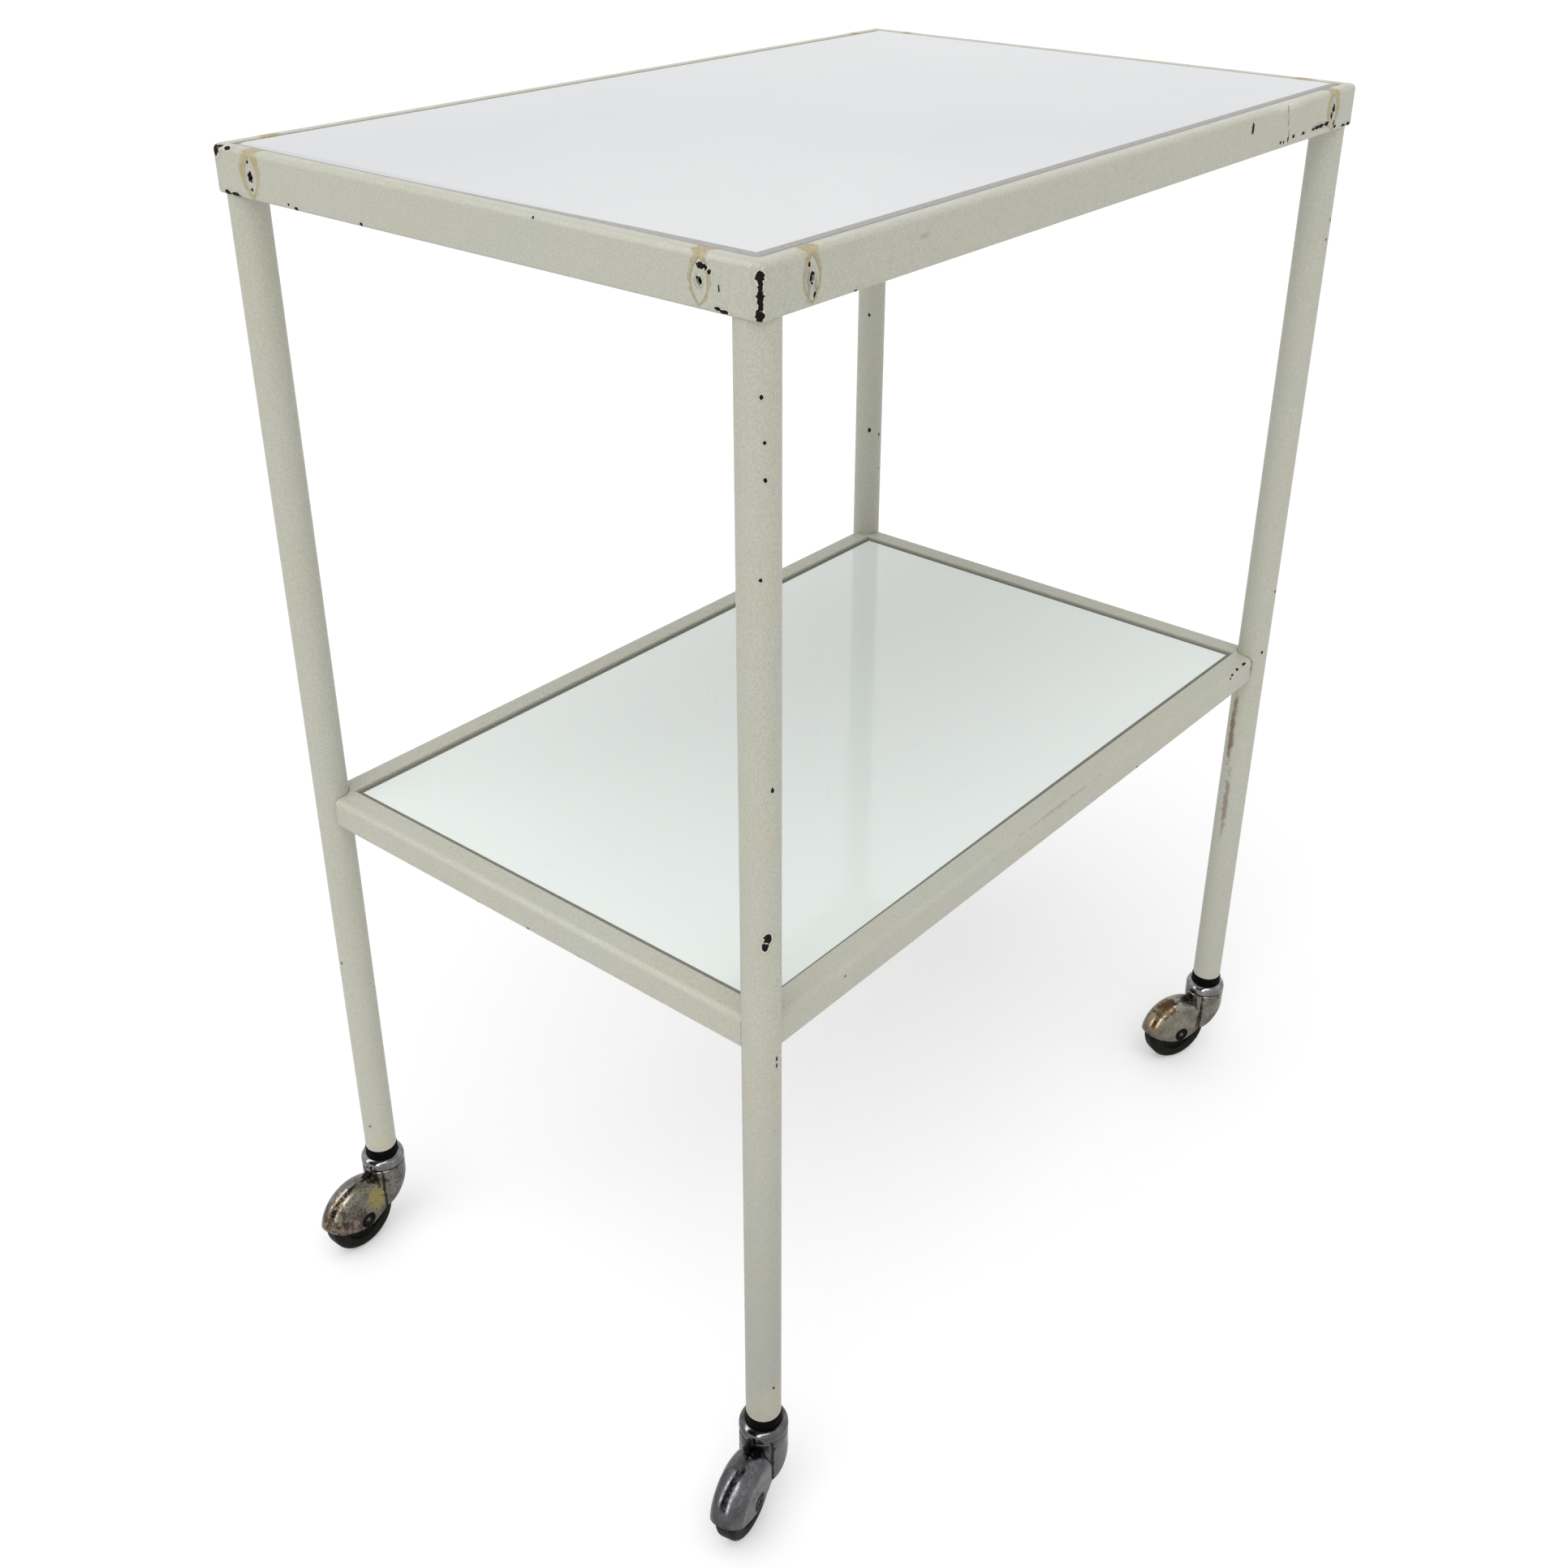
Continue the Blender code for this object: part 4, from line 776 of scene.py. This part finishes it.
def add_joint_plates():
    material = enamel("enamel_joint_plates", "joint_plates", False, 33.0)
    # Near-black steel for the rivet ends deep in the eyelets: painted shade of the holes.
    bore_shade = steel("rivet_bore", (0.010, 0.009, 0.008), (0.004, 0.004, 0.004))
    for leg, side, place in joint_places():
        plate = extruded(lens(PLATE_WIDTH, PLATE_HEIGHT), 0.05 - PLATE_SEAT, 0.08)
        bevelled(plate, lambda co: co.z > 0.0, 0.35, 3)
        hole = cylinder(EYELET_RADIUS + 0.03, -3.0, 2.0, 32)
        plate = combined(plate, [hole], "DIFFERENCE")
        plate.transform(place)
        piece(f"joint_lens_{leg}_{side}", plate, "table", material, [f"joint_plate_{leg}_{side}"])
        eyelet = turned([
            (1.75, -0.25), (1.85, 0.0), (2.1, 0.16), (2.5, 0.14), (2.85, 0.0), (EYELET_RADIUS, -0.3),
            (EYELET_RADIUS, -EYELET_LENGTH), (1.7, -EYELET_LENGTH)], 32)
        eyelet.transform(place)
        piece(f"joint_eyelet_{leg}_{side}", eyelet, "table", material)
        end = cylinder(1.68, 0.1 - EYELET_LENGTH, -1.6, 24)
        end.transform(place)
        piece(f"joint_rivet_end_{leg}_{side}", end, "table", bore_shade, [f"joint_rivet_{leg}_{side}"])


# ---------------------------------------------------------------- legs, shelf, glass
def add_legs():
    for seed, (leg, (sx, sy)) in enumerate(LEGS.items()):
        mesh = turned([
            (9.5, LEG_LOW + 0.5), (9.9, LEG_LOW + 0.1), (10.4, LEG_LOW), (10.85, LEG_LOW + 0.25),
            (LEG_RADIUS, LEG_LOW + 0.8), (LEG_RADIUS, LEG_HIGH), (9.5, LEG_HIGH),
        ], 72)
        mesh.transform(Matrix.Translation((sx * HALF_X, sy * HALF_Y, 0.0)))
        enamelled("tube", f"leg_{leg}", mesh, 130.0 + 7.0 * seed, tint=LEG_TINT[leg])


def add_shelf():
    ledge = SHELF_GLASS[3] - SHELF_GLASS[2] - 0.3 - SHELF_LOW
    outline = section(SHELF_WIDTH, SHELF_TOP - SHELF_LOW, SHELF_RADIUS, SHELF_RADIUS, ledge)
    for seed, (side, half) in enumerate(half_lengths(HALF_X, HALF_Y).items()):
        mesh = extruded(outline, -half - LEG_RADIUS, half + LEG_RADIUS)
        cuts = []
        for end in (-1, 1):
            cope = cylinder(LEG_RADIUS + SEAM, -30.0, 50.0, 72)
            leg_axis = Matrix.Translation((SHELF_OUT, 0.0, end * half))
            cope.transform(leg_axis @ Matrix.Rotation(-math.pi / 2, 4, "X"))
            cuts.append(cope)
            low, high = (-0.04, 60.0) if end > 0 else (-60.0, 0.04)
            mitre = extruded([(-60, -30), (60, -30), (60, 60), (-60, 60)], low, high)
            mitre.transform(leg_axis @ Matrix.Rotation(end * math.radians(45), 4, "Y"))
            cuts.append(mitre)
        mesh = combined(mesh, cuts, "DIFFERENCE")
        mesh.transform(along_side(side, HALF_X + SHELF_OUT, HALF_Y + SHELF_OUT, SHELF_LOW))
        enamelled("frame", f"shelf_rail_{side}", mesh, 200.0 + 9.0 * seed)


def pane_mesh(half_x, half_y, levels):
    """A plate with rounded corners, from (inset, height) levels, lowest first."""
    work = bmesh.new()
    rings = []
    for inset, height in levels:
        radius = max(2.5 - inset, 0.6)
        corners = [(x * (half_x - inset), y * (half_y - inset), radius)
                   for x, y in ((-1, -1), (1, -1), (1, 1), (-1, 1))]
        rings.append([work.verts.new((x, y, height)) for x, y in rounded(corners, 6)])
    count = len(rings[0])
    for lower, upper in zip(rings, rings[1:]):
        for i in range(count):
            j = (i + 1) % count
            work.faces.new((lower[i], lower[j], upper[j], upper[i]))
    work.faces.new(rings[0][::-1])
    work.faces.new(rings[-1])
    return closed(work, "pane")


def add_glass():
    half_x, half_y, thick, surface = TOP_GLASS
    mesh = pane_mesh(half_x, half_y, [
        (0.5, -thick), (0.15, 0.15 - thick), (0.0, 0.5 - thick), (0.0, -GROUND_DROP - 0.35),
        (0.1, -GROUND_DROP - 0.1), (0.35, -GROUND_DROP), (GROUND_EDGE - 0.2, -0.04), (GROUND_EDGE, 0.0)])
    mesh.transform(Matrix.Translation((0.0, 0.0, surface)))
    # The darker of the two edge colours is painted shade of the gap between the glass and the frame.
    material = opal_glass(
        "opal_white", (0.745, 0.755, 0.765), (0.62, 0.63, 0.645), 3.0, half_x - GROUND_EDGE,
        half_y - GROUND_EDGE, GROUND_EDGE, ((0.44, 0.43, 0.42), (0.16, 0.15, 0.13)), narrowing=2.6)
    piece("pane_top_glass", mesh, "table", material, ["top_glass"], flat_angle=8.0)
    half_x, half_y, thick, surface = SHELF_GLASS
    edge = arc((1.5, -1.5), 1.5, math.pi, math.pi / 2, 6)
    lower = [(inset, -thick - height) for inset, height in reversed(edge)]
    mesh = pane_mesh(half_x, half_y, lower + edge)
    mesh.transform(Matrix.Translation((0.0, 0.0, surface)))
    # The shelf glass's dark edge band is painted shadow of its gap to the rails, with crumbs of dirt.
    material = opal_glass(
        "opal_green", (0.925, 0.975, 0.945), (0.90, 0.955, 0.925), 50.0, half_x - SHELF_SHADE_AND_GRIME,
        half_y - SHELF_SHADE_AND_GRIME, SHELF_SHADE_AND_GRIME, ((0.20, 0.19, 0.15), (0.10, 0.09, 0.07)), near_thin=1.6)
    piece("pane_shelf_glass", mesh, "table", material, ["shelf_glass"])


# ---------------------------------------------------------------- casters
def bezier(knots, steps):
    points = []
    for i in range(steps + 1):
        t = i / steps
        weights = ((1 - t) ** 3, 3 * t * (1 - t) ** 2, 3 * t * t * (1 - t), t ** 3)
        points.append(tuple(sum(w * knot[axis] for w, knot in zip(weights, knots)) for axis in (0, 1)))
    return points


def lay_on_axle(mesh):
    mesh.transform(Matrix.Translation((TRAIL, 0.0, AXLE_HEIGHT)) @ Matrix.Rotation(math.pi / 2, 4, "X"))
    return mesh


def hood_form(inset, disc_steps, neck_steps, shoulder_steps):
    radius, top = NECK_RADIUS - inset, NECK_TOP - inset
    edge = max(1.4 - inset, 0.3)
    neck = turned([(0.0, top)] + arc((radius - edge, top - edge), edge, math.pi / 2, 0.0, 4)
                  + [(radius, -edge), (0.0, -edge)], neck_steps)
    flat = CROWN - inset - SHOULDER
    half = HALF_WIDTH - inset
    turns = [math.pi / 2 * i / shoulder_steps for i in range(shoulder_steps + 1)]
    shoulder = [(flat + SHOULDER * math.sin(turn), half * math.cos(turn)) for turn in turns]
    lower = [(x, -y) for x, y in reversed(shoulder[:-1])]
    disc = lay_on_axle(turned([(0.0, half)] + shoulder + lower + [(0.0, -half)], disc_steps))
    return neck, disc


def hood_mesh():
    neck, disc = hood_form(0.0, 96, 72, 12)
    outside = combined(neck, [disc], "UNION")
    inner_neck, inner_disc = hood_form(WALL, 64, 48, 8)
    inside = combined(inner_neck, [inner_disc], "UNION")
    outline = bezier(LIP[0], 20)[:-1] + bezier(LIP[1], 20) + [(60.0, -40.0), (-19.4, -40.0)]
    cutter = extruded([(x, z + AXLE_HEIGHT) for x, z in outline], -40.0, 40.0)
    cutter.transform(Matrix.Rotation(math.pi / 2, 4, "X"))
    reach = HALF_WIDTH + 1.0
    axle_hole = lay_on_axle(cylinder(AXLE_HOLE, -reach, reach, 40))
    stem_hole = cylinder(STEM_HOLE, NECK_TOP - 3.0, NECK_TOP + 2.0, 32)
    return combined(outside, [inside, cutter, axle_hole, stem_hole], "DIFFERENCE")


def collar_mesh():
    """Domed ring over the bearing, with a rolled lower edge."""
    skirt = COLLAR_LOW + 2.2
    dome = [
        (COLLAR_IN + (COLLAR_OUT - COLLAR_IN) * math.sin(math.pi / 2 * i / 10),
         skirt + (COLLAR_HIGH - skirt) * math.cos(math.pi / 2 * i / 10))
        for i in range(11)
    ]
    lower = [
        (COLLAR_OUT, COLLAR_LOW + 0.5), (COLLAR_OUT - 0.15, COLLAR_LOW + 0.15),
        (COLLAR_OUT - 0.5, COLLAR_LOW), (COLLAR_IN + 0.4, COLLAR_LOW), (COLLAR_IN, COLLAR_LOW + 0.4),
    ]
    return turned(dome + lower, 72)


def stem_mesh():
    """Pin with the race between the bush and the hood, and a riveted foot inside the hood."""
    race_top, race_step, race_low, foot = BUSH_LOW - 0.3, COLLAR_LOW - 0.3, NECK_TOP + 0.3, NECK_TOP - 1.6
    return turned([
        (0.0, STEM_HIGH), (STEM_RADIUS, STEM_HIGH), (STEM_RADIUS, race_top), (BUSH_RADIUS, race_top),
        (BUSH_RADIUS, race_step), (RACE_RADIUS, race_step), (RACE_RADIUS, race_low), (STEM_RADIUS, race_low),
        (STEM_RADIUS, foot), (FOOT_RADIUS, foot), (FOOT_RADIUS, STEM_LOW), (0.0, STEM_LOW)], 48)


def plug_mesh():
    """Bush in the leg's end, with a rounded flange below it and the pin's hole through it."""
    return turned([
        (STEM_HOLE, BUSH_HIGH), (9.2, BUSH_HIGH), (9.2, LEG_LOW - 0.05), (10.4, LEG_LOW - 0.1),
        (11.2, LEG_LOW - 0.7), (BUSH_RADIUS, LEG_LOW - 1.6), (BUSH_RADIUS, BUSH_LOW),
        (STEM_HOLE, BUSH_LOW)], 56)


def axle_mesh():
    """Axle whose flush, dimpled heads fill the holes in the cheeks."""
    face = HALF_WIDTH + 0.2
    inner = HALF_WIDTH - WALL
    half = [
        (0.0, face - 1.0), (1.5, face - 1.0), (1.9, face - 0.55), (2.3, face - 0.05), (2.9, face),
        (3.9, face - 0.1), (4.3, face - 0.6), (4.4, inner), (3.0, inner),
    ]
    return lay_on_axle(turned(half + [(x, -y) for x, y in reversed(half)], 48))


def wheel_mesh():
    """Solid wheel with hub, recessed web, bead and rounded tread; spins about Y at its axle."""
    hub = HALF_WIDTH - WALL - 0.3
    half = [
        (3.2, hub), (6.6, hub), (7.3, hub - 0.4), (7.5, hub - 1.0), (7.7, 5.1), (8.4, 4.6), (15.6, 4.5),
        (16.6, 4.9), (17.1, 6.6), (17.6, 7.2), (18.4, 7.4), (20.4, 7.4), (21.77, 7.4),
    ]
    half += [
        (AXLE_HEIGHT - 4.5 * (1 - math.sin(math.pi / 2 * i / 8)), 3.2 + 4.2 * math.cos(math.pi / 2 * i / 8))
        for i in range(1, 9)
    ]
    mesh = turned(half + [(x, -y) for x, y in reversed(half)], 96)
    mesh.transform(Matrix.Rotation(math.pi / 2, 4, "X"))
    return mesh


GOLD, BROWN, MAUVE = (0.33, 0.27, 0.10), (0.075, 0.045, 0.028), (0.25, 0.19, 0.18)
AMBER, OLIVE_GREY, PALE = (0.21, 0.145, 0.062), (0.24, 0.215, 0.15), (0.34, 0.34, 0.33)
# Near-black, for dirt in the crease and for painted shade under the collar.
OXIDE_AND_PAINTED_SHADE = (0.022, 0.018, 0.017)
# Each stain is in the caster's own frame: x along the trail, y across, z up.
HOOD_STAINS = {
    "front_left": [
        ((36.0, 7.0, 45.0), (14.0, 6.0, 12.0), (0.17, 0.175, 0.175), 0.5),
        ((5.0, 13.0, 40.0), (7.0, 5.0, 22.0), (0.22, 0.22, 0.22), 0.4),
        # Painted shade under the collar, on the neck's top.
        ((13.0, 0.0, 57.0), (9.0, 15.0, 7.0), OXIDE_AND_PAINTED_SHADE, 0.9),
    ],
    "back_left": [
        ((18.0, 11.0, 41.0), (10.0, 6.0, 14.0), GOLD, 0.9),
        ((25.0, 9.0, 36.0), (9.0, 5.0, 7.0), OLIVE_GREY, 0.7),
        ((40.0, 8.0, 32.0), (13.0, 6.0, 12.0), MAUVE, 0.85),
        ((53.0, 3.0, 34.0), (6.5, 12.0, 11.0), OLIVE_GREY, 0.9),
        # Painted shade under the collar, on the neck's top.
        ((12.0, 0.0, 55.0), (8.0, 13.0, 6.0), OXIDE_AND_PAINTED_SHADE, 0.75),
    ],
    "front_right": [
        ((42.0, 2.0, 52.0), (13.0, 12.0, 9.0), AMBER, 0.8), ((52.0, 4.0, 42.0), (7.0, 10.0, 9.0), AMBER, 0.7),
        # Below: the last stain on the first line is painted shade under the collar, the last on the second is
        # dirt in the crease.
        ((30.0, 9.0, 38.0), (12.0, 5.0, 11.0), PALE, 0.6), ((20.0, 3.0, 55.0), (9.0, 10.0, 5.0), OXIDE_AND_PAINTED_SHADE, 0.7),
        ((12.0, 12.0, 36.0), (2.0, 4.0, 12.0), OXIDE_AND_PAINTED_SHADE, 0.8),
    ],
    "back_right": [((20.0, 0.0, 50.0), (20.0, 14.0, 12.0), (0.22, 0.20, 0.17), 0.6)],
}
# Islands of patina: centre, radii, colour, grain size.
HOOD_PATINA = {
    "front_left": [((30.0, 0.0, 32.0), (34.0, 14.0, 34.0), (0.085, 0.085, 0.09), 2.4)],
    "back_left": [
        ((38.0, 9.0, 30.0), (19.0, 8.0, 13.0), BROWN, 4.6),
        ((50.0, 3.0, 42.0), (10.0, 12.0, 14.0), BROWN, 3.4),
        ((30.0, 3.0, 50.0), (20.0, 10.0, 8.0), OLIVE_GREY, 2.0),
    ],
    "front_right": [
        ((40.0, 3.0, 52.0), (16.0, 11.0, 9.0), BROWN, 5.2),
        ((33.0, 9.0, 38.0), (18.0, 6.0, 14.0), OLIVE_GREY, 2.6),
    ],
    "back_right": [((30.0, 0.0, 40.0), (30.0, 14.0, 22.0), OLIVE_GREY, 3.0)],
}
HOOD_BASE = {
    "front_left": (0.15, 0.15, 0.16), "back_left": (0.23, 0.22, 0.20),
    "front_right": (0.31, 0.288, 0.25), "back_right": (0.24, 0.23, 0.21),
}


COLLAR_BASE = {
    "front_left": (0.17, 0.17, 0.18), "back_left": (0.30, 0.30, 0.30),
    "front_right": (0.32, 0.32, 0.32), "back_right": (0.28, 0.275, 0.26),
}


def add_casters():
    plastic = black_plastic("black_bush")
    race = steel("race_steel", (0.14, 0.13, 0.12), (0.04, 0.035, 0.03))
    for seed, (leg, (sx, sy)) in enumerate(LEGS.items()):
        under = Matrix.Translation((sx * HALF_X, sy * HALF_Y, 0.0))
        swivel = under @ Matrix.Rotation(math.radians(YAW[leg]), 4, "Z")
        spin = swivel @ Matrix.Translation((TRAIL, 0.0, AXLE_HEIGHT))
        hood_chrome = chrome(f"chrome_{leg}", swivel, 20.0 * seed, HOOD_BASE[leg], 0.62,
                             HOOD_STAINS[leg], HOOD_PATINA[leg], 0.9)
        collar_chrome = chrome(f"chrome_collar_{leg}", under, 300.0 + seed, COLLAR_BASE[leg], 0.6)
        axle_steel = steel(f"axle_steel_{leg}", place=spin)
        rubber = black_rubber(f"rubber_{leg}", spin, 5.0 * seed)
        for name, mesh, place, body, material, slot, node in (
                ("collar", collar_mesh(), under, "table", collar_chrome, "chrome", "collar"),
                ("bush", plug_mesh(), under, "table", plastic, "plastic", "plug"),
                ("swivel_pin", stem_mesh(), under, "table", race, "steel", "stem"),
                ("hood", hood_mesh(), swivel, f"caster_{leg}", hood_chrome, "chrome", "hood"),
                ("axle", axle_mesh(), swivel, f"caster_{leg}", axle_steel, "steel", "axle"),
                ("wheel", wheel_mesh(), spin, f"wheel_{leg}", rubber, "rubber", "wheel")):
            mesh.transform(place)
            piece(f"{name}_{leg}", mesh, body, material, [f"caster_{node}_{leg}"])


# ---------------------------------------------------------------- camera, light, floor
# The camera as fitted to the edges in the photo, in metres and in pixels of its frame.
CAMERA_PLACE = (-0.8592192, -0.67523904, 0.9807096)
CAMERA_TURN = (1.91038, -0.89799, 0.54145)    # from the table's axes: right, down and forward
PHOTO_PIXELS, FOCAL_PIXELS, SHIFT_PIXELS = 1932, 2170.7, (-11.89, -104.67)
WORLD_LEVEL = 0.62
FLOOR_GLOW = 0.25                             # lifts the floor to white for the camera only


def add_camera():
    data = bpy.data.cameras.new("camera")
    camera = bpy.data.objects.new("camera", data)
    bpy.context.scene.collection.objects.link(camera)
    turn = Vector(CAMERA_TURN)
    right, down, forward = Matrix.Rotation(turn.length, 3, turn.normalized())
    axes = Matrix((right, -down, -forward)).transposed().to_4x4()
    camera.matrix_world = Matrix.Translation(CAMERA_PLACE) @ axes
    data.sensor_width = 36.0
    data.lens = FOCAL_PIXELS / PHOTO_PIXELS * data.sensor_width
    data.shift_x = SHIFT_PIXELS[0] / PHOTO_PIXELS
    data.shift_y = SHIFT_PIXELS[1] / PHOTO_PIXELS
    data.clip_end = 60.0
    bpy.context.scene.camera = camera


def add_world(level):
    """White to the camera and to reflections, and a softer level as light."""
    world = bpy.data.worlds.new("studio")
    bpy.context.scene.world = world
    world.use_nodes = True
    tree = world.node_tree
    back = tree.nodes["Background"]
    path = tree.nodes.new("ShaderNodeLightPath")
    seen = tree.nodes.new("ShaderNodeMath")
    seen.operation = "MAXIMUM"
    also = tree.nodes.new("ShaderNodeMath")
    also.operation = "MAXIMUM"
    tree.links.new(path.outputs["Is Camera Ray"], seen.inputs[0])
    tree.links.new(path.outputs["Is Glossy Ray"], seen.inputs[1])
    tree.links.new(seen.outputs[0], also.inputs[0])
    tree.links.new(path.outputs["Is Transmission Ray"], also.inputs[1])
    strength = tree.nodes.new("ShaderNodeMapRange")
    strength.inputs["To Min"].default_value = level
    strength.inputs["To Max"].default_value = 1.0
    tree.links.new(also.outputs[0], strength.inputs["Value"])
    tree.links.new(strength.outputs[0], back.inputs["Strength"])
    back.inputs["Color"].default_value = (1.0, 1.0, 1.0, 1.0)


def add_sun(name, toward, strength, angle):
    """A soft sun that shines from the direction toward."""
    data = bpy.data.lights.new(name, "SUN")
    data.energy = strength
    data.angle = math.radians(angle)
    lamp = bpy.data.objects.new(name, data)
    bpy.context.scene.collection.objects.link(lamp)
    lamp.rotation_mode = "QUATERNION"
    lamp.rotation_quaternion = Vector(toward).to_track_quat("Z", "Y")


def plain_object(name, verts, faces):
    """A mesh of the stage, with its material still to be set."""
    mesh = bpy.data.meshes.new(name)
    mesh.from_pydata(verts, [], faces)
    obj = bpy.data.objects.new(name, mesh)
    bpy.context.scene.collection.objects.link(obj)
    paint = Paint(name)
    mesh.materials.append(paint.material)
    return obj, paint


def add_floor(size=12.0):
    corners = [(-size, -size, 0), (size, -size, 0), (size, size, 0), (-size, size, 0)]
    floor, paint = plain_object("floor", corners, [(0, 1, 2, 3)])
    seen = paint.node("ShaderNodeLightPath").outputs["Is Camera Ray"]
    paint.set(Base_Color=(0.86, 0.86, 0.86), Roughness=0.9, Specular_IOR_Level=0.1,
              Emission_Color=(1.0, 1.0, 1.0), Emission_Strength=paint.times(seen, FLOOR_GLOW))


def add_card(name, heading, along, across, color, distance=5.0, steps=16):
    """A curved card round the table, seen only in reflections.

    It follows an arc from the horizon at a heading over the table: along gives the arc's start
    and end, across the card's two edges beside the arc, all in degrees.
    """
    turn = math.radians(heading)
    ahead = Vector((math.cos(turn), math.sin(turn), 0.0))
    aside = Vector((-math.sin(turn), math.cos(turn), 0.0))
    verts, faces = [], []
    for i in range(steps + 1):
        rise = math.radians(along[0] + (along[1] - along[0]) * i / steps)
        for j in range(steps + 1):
            side = math.radians(across[0] + (across[1] - across[0]) * j / steps)
            forward = ahead * math.cos(rise) + Vector((0.0, 0.0, math.sin(rise)))
            verts.append(((forward * math.cos(side) + aside * math.sin(side)) * distance)[:])
    for i in range(steps):
        for j in range(steps):
            first = i * (steps + 1) + j
            faces.append((first, first + 1, first + steps + 2, first + steps + 1))
    card, paint = plain_object(name, verts, faces)
    card.visible_camera = False
    card.visible_diffuse = False
    card.visible_shadow = False
    paint.set(Base_Color=(0.0, 0.0, 0.0), Specular_IOR_Level=0.0, Emission_Color=color, Emission_Strength=1.0)


add_camera()
add_top_frame()
add_legs()
add_shelf()
add_glass()
add_casters()
add_world(WORLD_LEVEL)
add_sun("key", (-0.45, -0.18, 0.87), 1.25, 60.0)
add_floor()
add_card("dark_arch", 173.0, (4.0, 110.0), (-20.0, 20.0), (0.02, 0.02, 0.025))
add_card("bright_arch_near", 173.0, (4.0, 80.0), (21.0, 33.0), (6.0, 6.0, 6.0))
add_card("bright_arch_far", 173.0, (4.0, 80.0), (-33.0, -21.0), (6.0, 6.0, 6.0))
bpy.context.scene.view_settings.view_transform = "Standard"
